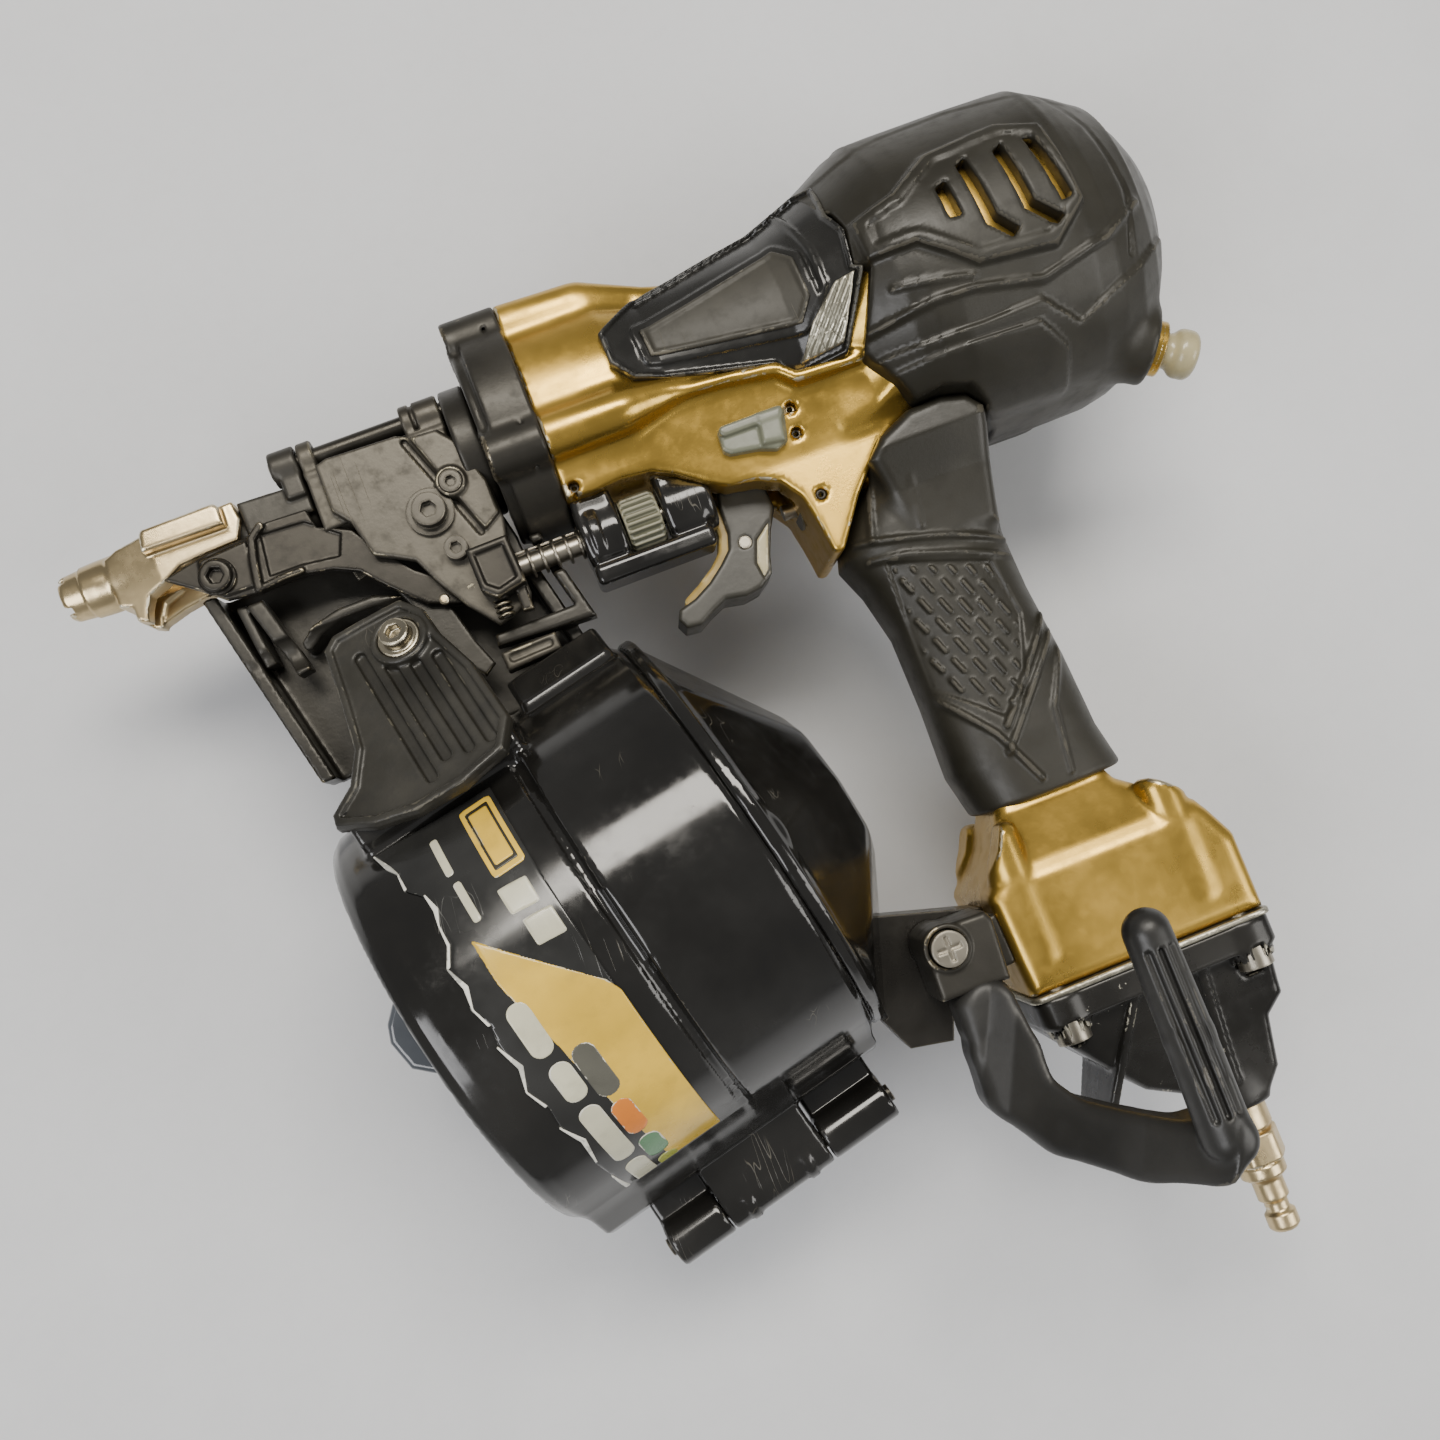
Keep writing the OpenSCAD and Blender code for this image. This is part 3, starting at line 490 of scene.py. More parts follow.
def gold_body(x, y, z):
    za = np.abs(z)
    r = np.hypot(y, za)
    d = flat(x, r, BARREL)
    thin = np.interp(x, [117, 136, 152, 168], [5.4, 5.2, 2.4, 0.4])
    for cy, cz, drop in ((21.9, 12.1, 0.9), (-9.4, 23.2, 1)):
        k = np.interp(x, [117, 138, 168], [1, 0.98, 0.76 * drop])
        boss = gap(y, za, (cy * k, cz * k)) - thin
        d = smin(d, both(boss, slab(x, 117.5, 166), 0.5), 3.2)
    lip = track(x, y, [(140, -10.6), (147, -9.4), (160, -10.4), (172.5, -12.2), (176.4, -15.8),
                       (191, -16.4)])
    d = smin(d, both(lip - 1.3, slab(za, 10, 23.6), 0.9), 1.6)
    depth = za - 17.2 - np.clip((y + 32) * 0.15, 0, 4.2)
    d = smin(d, both(flat(x, y, ARCH), depth, 1.1), 2.6)
    flare = both(flat(x, y, [(183, -42), (183, -14), (206, -2), (206, -42)]),
                 za - np.interp(x, [183, 192, 200, 206], [18, 20.5, 25, 28]), 1)
    d = smin(d, both(flare, r - 34.6, 1), 3)
    handle = both(both(slab(x, 185, 210), slab(y, -150, -34), 0.4), za - 11.6, 4)
    d = smin(d, handle, 1)
    wide = za - np.interp(y, [-166, -141, -137.5, -126, -119], [22, 22, 20.6, 13, 11.6])
    end = smax(flat(x, y, END), wide, 4)
    for ex, ey in ((180.5, -127), (219.5, -129.5)):
        ear = rod(x, za, y, (ex, 17.2), -160, ey, 5.2, 2.2)
        end = smin(end, smax(ear, flat(x, y, END) - 1.2, 0.8), 0.9)
    d = smin(d, both(end, slab(y, -166, -100), 0.8), 1.5)
    d = smax(d, -rod(y, z, x, (0, 0), 116, 122, 12), 0.4)
    d = smax(d, -box(x, y, za, (148, 168.2), (-70, -27.5), (-9, 7.4)), 0.4)
    for pin in ROLL_PINS:
        d = smax(d, -rod(x, y, za, pin, 13.6, 30, 1.35, 0.1), 0.3)
    return smax(d, -both(r - 21.3, slab(x, 190, 210), 0.1), 0.3)


def roll_pins(x, y, z):
    r = np.min([gap(x, y, pin) for pin in ROLL_PINS], axis=0)
    return smax(both(r - 1.3, slab(z, 13, 16.4), 0.2), 0.5 - r, 0.1)


cast("body_shell", "tool_body", gold, gold_body, (117, -167, -36),
     (232, 36, 36), 1, ["body_housing"])
for side, turn in (("left", 1), ("right", -1)):
    cast("roll_pins_" + side, "tool_body", oxide,
         lambda x, y, z: roll_pins(x, y, z * turn),
         (118, -44, min(12 * turn, 17 * turn)), (175, -19, max(12 * turn, 17 * turn)), 0.35)


# ---- Rear protector ----

COVER_X = [192, 197, 203, 208, 214, 232, 246, 252, 258, 264, 268, 271, 274, 276.5, 278.2]
COVER_TOP = [30, 32.4, 35.6, 37.2, 37.4, 37.5, 37.2, 35.4, 32.4, 28.4, 24, 19.6, 14, 8.4, 3]
COVER_LOW = [34, 36.4, 39, 40.2, 41, 41.2, 41, 39.8, 37.4, 32.6, 26.4, 20.6, 13, 5.4, -1]
COVER_SIDE = [31.6, 34.4, 37.2, 38.6, 39.2, 39.4, 38.8, 37, 34, 29.4, 24.8, 20.4, 14.6, 8.8, 1.6]
CHEVRON_PANEL = [(197.5, 9.2), (208, 11.4), (218.4, 18.2), (236.4, 19.8), (245.6, 15.9),
                 (247, -5), (238, -12.6), (219.6, -10.8), (208.5, -1.8), (197.6, -0.7)]
LOW_STEP = [(186, -19.4), (204.5, -21.4), (217.2, -21.9), (231.5, -21.4), (239.8, -28.1),
            (257.2, -20.9), (268, -14), (290, -10), (290, -70), (186, -70)]
LOW_BAND = [(186, -24), (230, -25.6), (236, -32), (236, -70), (186, -70)]
SHOULDER = [(186, 24), (200, 26.5), (214, 30), (232, 31), (246, 28.5), (258, 22), (290, 18),
            (290, 60), (186, 60)]
SLOTS = [[(217, 8.6), (219.9, 9.8), (220.2, 0.5), (217.2, 0.9)],
         [(223.6, 12.2), (226.4, 13.6), (227.4, -1.8), (231.2, -6.4), (228.8, -8),
          (224.2, -3.2)],
         [(232.6, 12.6), (235.4, 14), (236.4, -1.6), (241.6, -7), (239.2, -8.8),
          (233.6, -3.1)],
         [(240.2, 13.6), (242.6, 12.6), (245, -3.6), (242.2, -3.8)]]
COVER_FRONT = [(180, 60), (188, 42), (194.5, 16.2), (196.2, 14.8), (197, 9.7), (195.6, 1),
               (198.5, -1.3), (195.2, -9), (191.6, -17.5), (194.4, -22), (199.5, -30.6),
               (214, -37), (219, -40), (219, -60), (170, -60)]
HORN = [(185, -39.5), (189.3, -35.1), (197.4, -31.5), (205.6, -31.1), (211.6, -32.7),
        (214.6, -36.6), (214.1, -41.2), (210, -62), (191, -62)]
DUSTER_AT = (244, -25)
DUSTER_AXIS = (0, 12)
DUSTER_COS, DUSTER_SIN = math.cos(math.radians(33)), math.sin(math.radians(33))


def duster_frame(x, y):
    """Distances along and across the duster's axis."""
    dx, dy = x - DUSTER_AT[0], y - DUSTER_AT[1]
    return dx * DUSTER_COS - dy * DUSTER_SIN, dx * DUSTER_SIN + dy * DUSTER_COS


def cover(x, y, z):
    za = np.abs(z)
    top, low, side = (np.interp(x, COVER_X, v) for v in (COVER_TOP, COVER_LOW, COVER_SIDE))
    ry, cy = (top + low) / 2, (top - low) / 2
    ratio = np.sqrt(((y - cy) / ry) ** 2 + (za / side) ** 2)
    d = (ratio - 1) * np.minimum(ry, side) * 0.93
    panel = flat(x, y, CHEVRON_PANEL)
    rise = 1.9 * ramp(panel, 0.7, -0.7)
    rise = rise - 0.6 * ramp(panel, -2.6, -3.4)
    rise = rise + 1.1 * ramp(flat(x, y, LOW_STEP), 0.6, -0.6)
    rise = rise + 0.9 * ramp(flat(x, y, LOW_BAND), 0.6, -0.6)
    rise = rise + 0.4 * ramp(flat(x, y, SHOULDER), 0.7, -0.7)
    rise = rise + 0.9 * ramp(track(x, y, [(189, -14.8), (208.6, -14.4), (217.5, -14.9),
                                          (233.2, -18), (250, -14), (262, -7)]), 1.3, 0.2)
    rise = rise + 0.6 * ramp(track(x, y, [(200.7, -8.6), (218.2, -12.4)]), 1.2, 0.1)
    rear_seam = track(x, y, [(252, 30), (258, 14), (260, -4), (256, -18)])
    rise = rise - 0.7 * ramp(rear_seam, 1.1, 0.2)
    d = d - rise * ramp(za, 10, 20)
    r = np.hypot(y, za)
    core = np.interp(x, [190, 197, 205, 207.4, 249, 264, 270, 270.8],
                     [27.2, 30.6, 34.2, 36.4, 36.4, 28.4, 15.4, 0])
    d = smin(d, both(r - core - 1.2, slab(x, 190, 268), 0.4), 0.6)
    d = smax(d, x - 278.4, 2)
    along, across = duster_frame(x, y)
    d = smin(d, rod(across, z, along, DUSTER_AXIS, 4, 19.4, 9.3, 1.2), 3)
    d = smax(d, -rod(across, z, along, DUSTER_AXIS, 0, 24, 6.9, 0.2), 0.5)
    d = smax(d, core - 1.3 - r, 0.4)
    for slot in SLOTS:
        d = smax(d, -both(flat(x, y, slot), slab(za, 25, 60), 0.1), 0.5)
    d = smax(d, -both(flat(x, y, HORN) - 0.7, 10 - za, 0.2), 0.5)
    return smax(d, -flat(x, y, COVER_FRONT), 0.7)


cast("protector", "tool_body", elastomer, cover, (186, -46, -46),
     (282, 46, 46), 0.82, ["rear_protector"])


def button(x, y, z):
    along, across = duster_frame(x, y)
    r = gap(across, z, DUSTER_AXIS)
    head = both(r - 5.9, slab(along, 24.6, 30.5), 2.2)
    neck = both(r - 4.2, slab(along, 20.6, 26), 0.6)
    groove = both(np.abs(r - 3.2) - 0.5, slab(along, 29.9, 32), 0.2)
    return smax(smin(head, neck, 1.2), -groove, 0.3)


cast("duster_cap", "duster", cream, button, (256, -50, 4), (276, -30, 20),
     0.5, ["duster_button"])


def collar_ring(x, y, z):
    along, across = duster_frame(x, y)
    return both(np.abs(gap(across, z, DUSTER_AXIS) - 5.2) - 1.3, slab(along, 10, 21.4), 0.5)


cast("duster_ring", "tool_body", gold, collar_ring, (248, -48, 4),
     (268, -26, 20), 0.5)


# ---- Side panels ----

PANEL = [(137, 8.2), (147, 15.4), (191.8, 26.9), (196.4, 25.4), (195.2, 15.2), (197, 9.6),
         (195.6, 1), (197.6, -0.2), (188.8, -15.6), (174.6, -15.5), (172.5, -11.7),
         (141.1, -4.2), (137, 0.4)]
BADGE = [(146.3, 6.2), (181.2, 13.4), (184.6, 9.3), (184.7, -1), (181.3, -5.7), (146.7, -0.4)]
INSERT = [(178.4, -13.4), (183.4, -6.4), (190.6, -0.6), (195.2, -0.4), (188.6, -13.2)]


def over_barrel(x, y, z):
    """Height above the barrel casting."""
    return flat(x, np.hypot(y, z), BARREL)


def side_panel(x, y, z):
    h = over_barrel(x, y, z)
    edge = flat(x, y, PANEL)
    top = 2.3 + 1.2 * ramp(edge, -1.6, -0.7) * ramp(edge, 0.2, -0.3)
    top = top + 0.9 * ramp(flat(x, y, BADGE), 2.4, 1.6)
    ridge = track(x, y, [(186.4, 24), (188.6, 10), (188.4, 0), (184, -7)])
    top = top + 0.7 * ramp(ridge, 1.2, 0.3)
    return both(smax(h - top, -h - 1.2, 0.4), edge, 0.8)


def badge(x, y, z):
    h, edge = over_barrel(x, y, z), flat(x, y, BADGE)
    top = 4.1 - 0.4 * ramp(edge, -0.9, -1.5)
    return both(smax(h - top, 2.4 - h, 0.3), edge, 0.5)


def insert(x, y, z):
    h, edge = over_barrel(x, y, z), flat(x, y, INSERT)
    top = 3.5 + 0.25 * ramp(np.abs(np.sin((x * 0.75 - y * 0.66) * 2.2)), 0.3, 0.8)
    return both(smax(h - top, 1.6 - h, 0.3), edge, 0.4)


def other_side(f):
    return lambda x, y, z: f(x, y, -z)


for side, turn, near, far, node in (("left", lambda f: f, 4, 36, "side_panel_left"),
                                    ("right", other_side, -36, -4, "side_panel_right")):
    also = ["side_badges"] if side == "left" else []
    cast("panel_" + side, "tool_body", panel_black, turn(side_panel),
         (136, -17, near), (199, 28, far), 0.6, [node])
    cast("badge_" + side, "tool_body", badge_dark, turn(badge),
         (145, -7, near), (186, 15, far), 0.5, also)
    cast("insert_" + side, "tool_body", bare_plate, turn(insert),
         (177, -15, near), (196, 1, far), 0.45, ["side_inserts"] if side == "left" else [])


# ---- Mode switch ----

SWITCH = [(154.6, -25.6), (154.9, -21.2), (156.4, -19.9), (169.8, -19.9), (171.2, -21.6),
          (169.4, -28.4), (166.6, -29.4), (162.6, -27.9), (156, -26.8)]


def switch(x, y, z):
    d = both(flat(x, y, SWITCH), slab(z, 17.3, 20.8), 0.8)
    ridge = track(x, y, [(156.4, -21.5), (169.4, -21.5)])
    d = smin(d, both(ridge - 1.3, slab(z, 18, 22), 0.6), 0.6)
    thumb = prism(x, y, z, [(164.6, -20.4), (170.4, -20.6), (168.8, -28.4), (163.4, -27.6)], 18,
                  22.2, 1)
    return smin(d, thumb, 0.8)


cast("switch_cap", "mode_switch", grey, switch, (153, -31, 16),
     (173, -18, 24), 0.4, ["mode_switch"])


# ---- Grip ----

GRIP_EDGE_LOW = [(-126, 180.4), (-114, 177.8), (-96, 178.4), (-78, 178.2), (-66, 175.5),
                 (-58, 172.2), (-54, 173.4), (-46, 180), (-39, 186.5), (-34, 197)]
GRIP_EDGE_HIGH = [(-126, 219.4), (-114, 216.8), (-96, 215.8), (-78, 213.8), (-64, 213.4),
                  (-54, 215.2), (-44, 217.2), (-39, 216.6), (-34, 212)]
GRIP_DEPTH = [(-126, 16.6), (-110, 17.2), (-80, 16.8), (-64, 17.2), (-56, 17.8), (-46, 18.2),
              (-34, 17.4)]
GRIP_SQUARENESS = 2.7


def pairs(table):
    return [t[0] for t in table], [t[1] for t in table]


def dashes(x, y):
    """Rows of short raised dashes."""
    u, v = x * 0.94 + y * 0.34, -x * 0.34 + y * 0.94
    row = np.round(u / 3.4)
    du = u - row * 3.4
    dv = (v + (row % 2) * 3.1) % 6.2 - 3.1
    return both(np.abs(du) - 0.45, np.abs(dv) - 2.1, 0.2)


def grip(x, y, z):
    za = np.abs(z)
    low, high = np.interp(y, *pairs(GRIP_EDGE_LOW)), np.interp(y, *pairs(GRIP_EDGE_HIGH))
    mid, half = (low + high) / 2, (high - low) / 2
    depth = np.interp(y, *pairs(GRIP_DEPTH))
    p = GRIP_SQUARENESS
    ratio = (np.abs((x - mid) / half) ** p + (za / depth) ** p) ** (1 / p)
    d = (ratio - 1) * np.minimum(half, depth) * 0.95
    field = flat(x, y, [(181.5, -62), (204.4, -70), (206.4, -84), (200, -102), (193.5, -105),
                        (181, -93)])
    rise = -0.8 * ramp(field, 0.4, -0.5)
    rise = rise + 0.75 * ramp(dashes(x, y), 0.25, -0.25) * ramp(field, -0.8, -1.5)
    for line, deep in (([(174, -54.6), (184, -57.6), (196, -61), (211, -66.4)], 0.9),
                       ([(178, -60.4), (186, -62), (197, -65.6), (212, -71)], 0.6),
                       ([(193, -107), (201, -98), (212, -85.5)], 1),
                       ([(191, -113), (204, -98.5), (214, -88)], 0.8),
                       ([(181, -96), (190, -108), (196, -121)], 0.9),
                       ([(214, -92), (205, -107), (203, -122)], 0.7),
                       ([(186.5, -39.5), (182, -50), (180, -56)], 0.8),
                       ([(197, -35.6), (193, -46), (191.6, -57)], 0.6)):
        rise = rise + deep * ramp(track(x, y, line), 1.3, 0.15)
    d = d - rise * ramp(za, 8, 13) + 0.9
    d = both(d, slab(y, -124.8, -33), 1.2)
    swell = both(slab(za, 0, 23), za - np.interp(y, [-62, -48, -38], [15.6, 18.4, 23]), 0.4)
    d = smin(d, both(both(flat(x, y, HORN), swell, 2.6), 12 - za, 0.4), 2.6)
    head = flat(x, np.hypot(y, za), [(150, 0), (150, 24.6), (186, 24.6), (205, 35.4),
                                     (209, 36.9), (240, 36.9), (240, 0)])
    d = smax(d, -head, 0.5)
    arch = both(flat(x, y, ARCH), za - 17.2, 0.5)
    d = smax(d, -arch, 0.4)
    handle = both(both(slab(x, 184.8, 210.2), slab(y, -150, -20), 0.4), za - 11.8, 4)
    return smax(d, -handle, 0.3)


cast("grip_sleeve", "tool_body", elastomer, grip, (169, -127, -24),
     (222, -29, 24), 0.6, ["grip"])


# ---- Handle end ----

def end_gasket(x, y, z):
    d = both(both(slab(x, 173.4, 231.6), slab(z, -22.6, 22.6), 3), slab(y, -167.2, -165.8), 0.3)
    return smax(d, -box(x, y, z, (184, 220), (-170, -160), (-16, 16), 2), 0.2)


cast("gasket", "tool_body", bare_edge, end_gasket, (172, -169, -24),
     (233, -164, 24), 0.55, ["end_gasket"])

CAP_SIDE = [(175, -167), (230.5, -167), (230.5, -187), (226, -191), (224.6, -203), (220, -209),
            (208, -209), (203, -202), (193, -196.5), (184, -186), (176, -176)]
CAP_BOLTS_X = (180, 225)
PLUG_AXIS = (214, 0)


def end_cap(x, y, z):
    za = np.abs(z)
    base = both(both(slab(x, 174, 231), za - 22, 3.4), slab(y, -173.6, -167), 0.8)
    taper = np.interp(y, [-209, -196, -184, -174, -167], [7.6, 10.5, 13.6, 17, 18])
    dome = both(flat(x, y, CAP_SIDE), za - taper, 2.2)
    d = smin(base, dome, 2.4)
    for bx in CAP_BOLTS_X:
        d = smin(d, rod(x, za, y, (bx, 17.6), -176.4, -167, 5, 0.8), 1.4)
    rib = both(both(np.abs(x - 196 - (y + 175) * 0.55) - 1.2, za - taper - 1.3, 0.5),
               slab(y, -198, -172), 0.6)
    rib2 = both(both(np.abs(x - 213) - 1.2, za - taper - 1.2, 0.5), slab(y, -203, -172), 0.6)
    d = smin(smin(d, rib, 0.8), rib2, 0.8)
    d = smin(d, rod(x, z, y, PLUG_AXIS, -209.6, -192, 8.4, 1), 2)
    for bx in CAP_BOLTS_X:
        d = smax(d, -rod(x, za, y, (bx, 18), -180, -172.9, 4.3, 0.2), 0.3)
    d = smax(d, -box(x, y, z, (184, 220), (-183, -160), (-11, 11), 2), 0.3)
    return smax(d, -rod(x, z, y, PLUG_AXIS, -212, -183, 6.1, 0.2), 0.3)


cast("cap", "tool_body", cap_paint, end_cap, (172, -211, -24),
     (233, -165, 24), 0.65, ["end_cap"])


# ---- Plug ----

def plug(x, y, z):
    r = gap(x, z, PLUG_AXIS)
    profile = [(-240.3, 0), (-240.3, 2.8), (-239.4, 3.6), (-236.4, 3.6), (-235.6, 2.7),
               (-233.4, 2.7), (-232.6, 3.6), (-228.2, 3.6), (-226.8, 5.4), (-224.4, 5.4),
               (-223.8, 4.8), (-208, 4.8), (-208, 0)]
    d = flat(y, r, profile) - 0.1
    flats = hexagon(np.arctan2(z, x - PLUG_AXIS[0]), r) - 6.3
    nut = both(smax(flats, r - 6.9, 0.3), slab(y, -223.6, -216.6), 0.5)
    collar = both(r - 6.4, slab(y, -215.8, -209.4), 0.6)
    d = smin(smin(d, nut, 0.3), collar, 0.4)
    return smax(d, 2.2 - r, 0.3)


cast("plug", "tool_body", nickel, plug, (205, -242, -9), (223, -206, 9), 0.45,
     ["air_plug"])


# ---- Belt hook ----

HOOK = [(163.2, -162, 5.6), (162.3, -172, 6.6), (161.6, -181, 6.5), (166.4, -188.6, 6.2),
        (176.4, -194.4, 6.4), (184.4, -196.4, 5.6), (189.2, -194.6, 4.9)]
HOOK_RISE = [(2, 21), (8, 24.5), (14, 30.5), (31.7, 48.5), (45, 65.5)]


def arm(x, y, z):
    """The flat bar of the hook, which climbs as it goes round."""
    side = 1e9
    for (ax, ay, aw), (bx, by, bw) in zip(HOOK, HOOK[1:]):
        ex, ey = bx - ax, by - ay
        t = np.clip(((x - ax) * ex + (y - ay) * ey) / (ex * ex + ey * ey), 0, 1)
        side = smin(side, np.hypot(x - ax - t * ex, y - ay - t * ey) - aw - (bw - aw) * t, 0.8)
    level = np.interp((x - 161) - 0.5 * (y + 162), *pairs(HOOK_RISE))
    return both(side, np.abs(z - level) - 6.6, 2.6)


def hook(x, y, z):
    d = arm(x, y, z)
    bar = smin(stick(x, y, z, (189.2, -194.2, 67.4), (189.4, -174, 68), 5.2, 5),
               stick(x, y, z, (189.4, -174, 68), (189.4, -153, 68), 5, 4.7), 0.6)
    d = smin(d, bar, 1.4)
    foot = box(x, y, z, (156.5, 168.8), (-168, -158.6), (15.2, 26.8), 2.4)
    d = smin(d, foot, 2)
    for side in (-2.3, 0, 2.3):
        groove = both(np.abs(x - 189.4 - side) - 0.5, np.abs(z - 74.2) - 2.9, 0.2)
        d = smax(d, -both(groove, slab(y, -190, -156), 0.3), 0.5)
    return d


cast("hook", "tool_body", matte_black, hook, (153, -205, 14),
     (197, -146, 75), 0.6, ["belt_hook"])


HOOK_SCREW = (159.3, -147.4)


def bracket(x, y, z):
    plate = prism(x, y, z, [(154, -158), (154.6, -144), (157, -142.4), (170, -143), (171, -145),
                            (170, -158.6)], 8.5, 27, 1.2)
    d = smin(plate, rod(x, y, z, HOOK_SCREW, 8.5, 27.6, 5.4), 0.6)
    d = smin(d, box(x, y, z, (168, 174.6), (-157, -145), (8, 20), 1), 1)
    handle = [(173.2, -141), (178, -134), (190, -134), (190, -166), (174, -166)]
    d = smax(d, -prism(x, y, z, handle, -23, 23, 0.2), 0.2)
    return smax(d, -rod(x, y, z, HOOK_SCREW, 20, 32, 4.3, 0.2), 0.3)


cast("bracket", "tool_body", casting, bracket, (152, -160, 7),
     (176, -140, 29), 0.5, ["hook_bracket"])


# ---- Magazine: u runs along the drum's axis, v and w across it ----

LEAN = math.radians(13)
DRUM = Matrix.Translation((91, -117, 0)) @ Matrix.Rotation(LEAN, 4, "Z")
SHELL = [(-41.2, 0), (-41.2, 49.2), (-40.4, 50.6), (-38.6, 51.7), (-35.6, 52.1), (3.2, 52.1),
         (4, 51.2), (5.4, 51.2), (6.6, 53.5), (36.6, 53.5), (38, 52.6), (38, 0)]


DRUM_BORE = 49.6
HINGE_PIN = (-69, 0)


def drum_wall(u, r):
    return both(flat(u, r, SHELL), DRUM_BORE - r, 0.4)


def front_disc(u, r):
    d = both(slab(u, -41.2, -38.6), r - 50, 0.5)
    web = both(both(np.abs(r - 40) - 1, slab(u, -42, -40), 0.3), r - 49, 0.3)
    hub = both(r - 11, slab(u, -41.8, -38.6), 0.6)
    return smin(smin(d, web, 0.5), hub, 0.8)


def knuckle(u, v, w, lo, hi):
    barrel = rod(v, w, u, HINGE_PIN, lo, hi, 5.4, 0.7)
    return smax(barrel, -rod(v, w, u, HINGE_PIN, lo - 3, hi + 3, 2.15, 0.1), 0.2)


def magazine_cover(u, v, w):
    r = np.hypot(v, w)
    d = smin(drum_wall(u, r), front_disc(u, r), 0.8)
    # Throat over the feed channel, with the shoulder that the feed door's hinge sits in.
    throat = prism(v, w, u, [(38, 30), (44, 34.6), (52, 34.2), (53.5, 30), (53.5, 9.4),
                             (38, 9.4)], -32, 8.5, 1.4)
    d = smin(d, smax(throat, DRUM_BORE - r, 0.4), 1.6)
    tab = prism(v, w, u, [(42, 9.4), (42, 22), (52, 20), (59, 13), (59, 9.4)], 12, 36, 1.2)
    d = smin(d, smax(tab, DRUM_BORE - r, 0.4), 1.6)
    skirt = prism(v, w, u, [(-44, 0.4), (-44, 25), (-48, 21), (-56.5, 9.5), (-58, 4),
                            (-58, 0.4)], -38, 36.5, 1.2)
    d = smin(d, smax(skirt, DRUM_BORE - r, 0.4), 2)
    web = prism(v, w, u, [(-50, 0.4), (-50, 10), (-60, 7.6), (-69, 5.4), (-69, 0.4)], -13.6,
                13.6, 1)
    d = smin(smin(d, web, 1), knuckle(u, v, w, -13.6, 13.6), 1)
    for at in (-8, 8):
        ring = rod(v, w, u, HINGE_PIN, at - 1.2, at + 1.2, 6)
        d = smin(d, smax(ring, -w - 2, 0.4), 0.3)
    feed = both(both(slab(v, 39, 60), slab(w, -9.3, 9), 0.3), slab(u, -36, 40), 0.3)
    d = smax(d, -feed, 0.4)
    seam = both(np.abs(r - 52.6) - 0.5, np.abs(w - 3.2) - 0.5, 0.1)
    d = smax(d, -seam, 0.4)
    pin = rod(v, w, u, HINGE_PIN, -60, 60, 2.2, 0.1)
    return both(smax(d, -pin, 0.2), 0.35 - w, 0.4)


CONE_SIDES = 8
CONE_SHIFT = 1.8
CONE_NORMAL = (0.842, 0.539)


def cone(u, v, w):
    """The many-sided hood behind the drum."""
    d = u - 62.4
    for k in range(CONE_SIDES):
        a = math.radians(360 / CONE_SIDES * (k + 0.5))
        out = (v + CONE_SHIFT) * math.cos(a) + w * math.sin(a)
        d = smax(d, CONE_NORMAL[0] * u + CONE_NORMAL[1] * out - 61.9, 1.2)
    return smax(d, 40.6 - u, 0.5)


def magazine_base(u, v, w):
    r = np.hypot(v, w)
    d = both(smin(drum_wall(u, r), front_disc(u, r), 0.8), w + 0.35, 0.4)
    back = both(r - 53.2, slab(u, 38, 41.4), 1)
    d = smin(d, back, 0.4)
    hood = smax(cone(u, v, w), r - 51.5, 1)
    d = smin(d, hood, 1.6)
    d = smin(d, prism(u, v, w, [(-30, 44), (-30, 62), (36, 62), (36, 44)], -13, -9.3, 0.8), 1.2)
    for low, high in ((-28, -14), (14, 32)):
        web = prism(v, w, u, [(-46, -0.4), (-46, -14), (-58, -9), (-69, -5.4), (-69, -0.4)], low,
                    high, 1)
        d = smin(smin(d, web, 1.2), knuckle(u, v, w, low, high), 1)
    feed = both(both(slab(v, 39, 61), slab(w, -9.2, 9.2), 0.3), slab(u, -36, 37), 0.3)
    d = smax(d, -feed, 0.4)
    pin = rod(v, w, u, HINGE_PIN, -60, 60, 2.2, 0.1)
    return smax(d, -pin, 0.2)


cast("drum_cover", "magazine_cover", gloss, magazine_cover, (-43, -76, 0),
     (40, 60, 55), 0.8, ["magazine_cover"], DRUM)
cast("drum_base", "tool_body", gloss, magazine_base, (-43, -76, -55),
     (64, 64, 55), 0.85, ["magazine_base"], DRUM)


def window(u, v, w):
    shape = prism(u, v, w, [(-41.4, 21), (-46.1, 17.8), (-54.4, 10), (-56.1, 6), (-55.2, -1.6),
                            (-46, -10.8), (-41.4, -13)], -16, 2.4, 1.4)
    hollow = prism(u, v, w, [(-40, 18), (-45.6, 15.6), (-53, 8.6), (-54, 5.4), (-53.4, -0.8),
                             (-45, -8.6), (-40, -10)], -17, 0.8, 1)
    return smax(shape, -hollow, 0.4)


cast("drum_window", "tool_body", smoke, window, (-57, -15, -17), (-40, 23, 4),
     0.5, (), DRUM)


# ---- Label: thin printed film on the drum; generic shapes stand where print would be ----

LABEL_R = 52.1
FILM_STRETCH = 4
FILM_LIFT = 0.32
FILM_HALF = 0.24


def on_drum(verts):
    """Wraps a flat film, drawn thicker than it is, round the drum."""
    u, s, h = verts.T
    r = LABEL_R + FILM_LIFT + h / FILM_STRETCH
    a = s / LABEL_R
    return np.stack([u, -r * np.sin(a), r * np.cos(a)], 1)


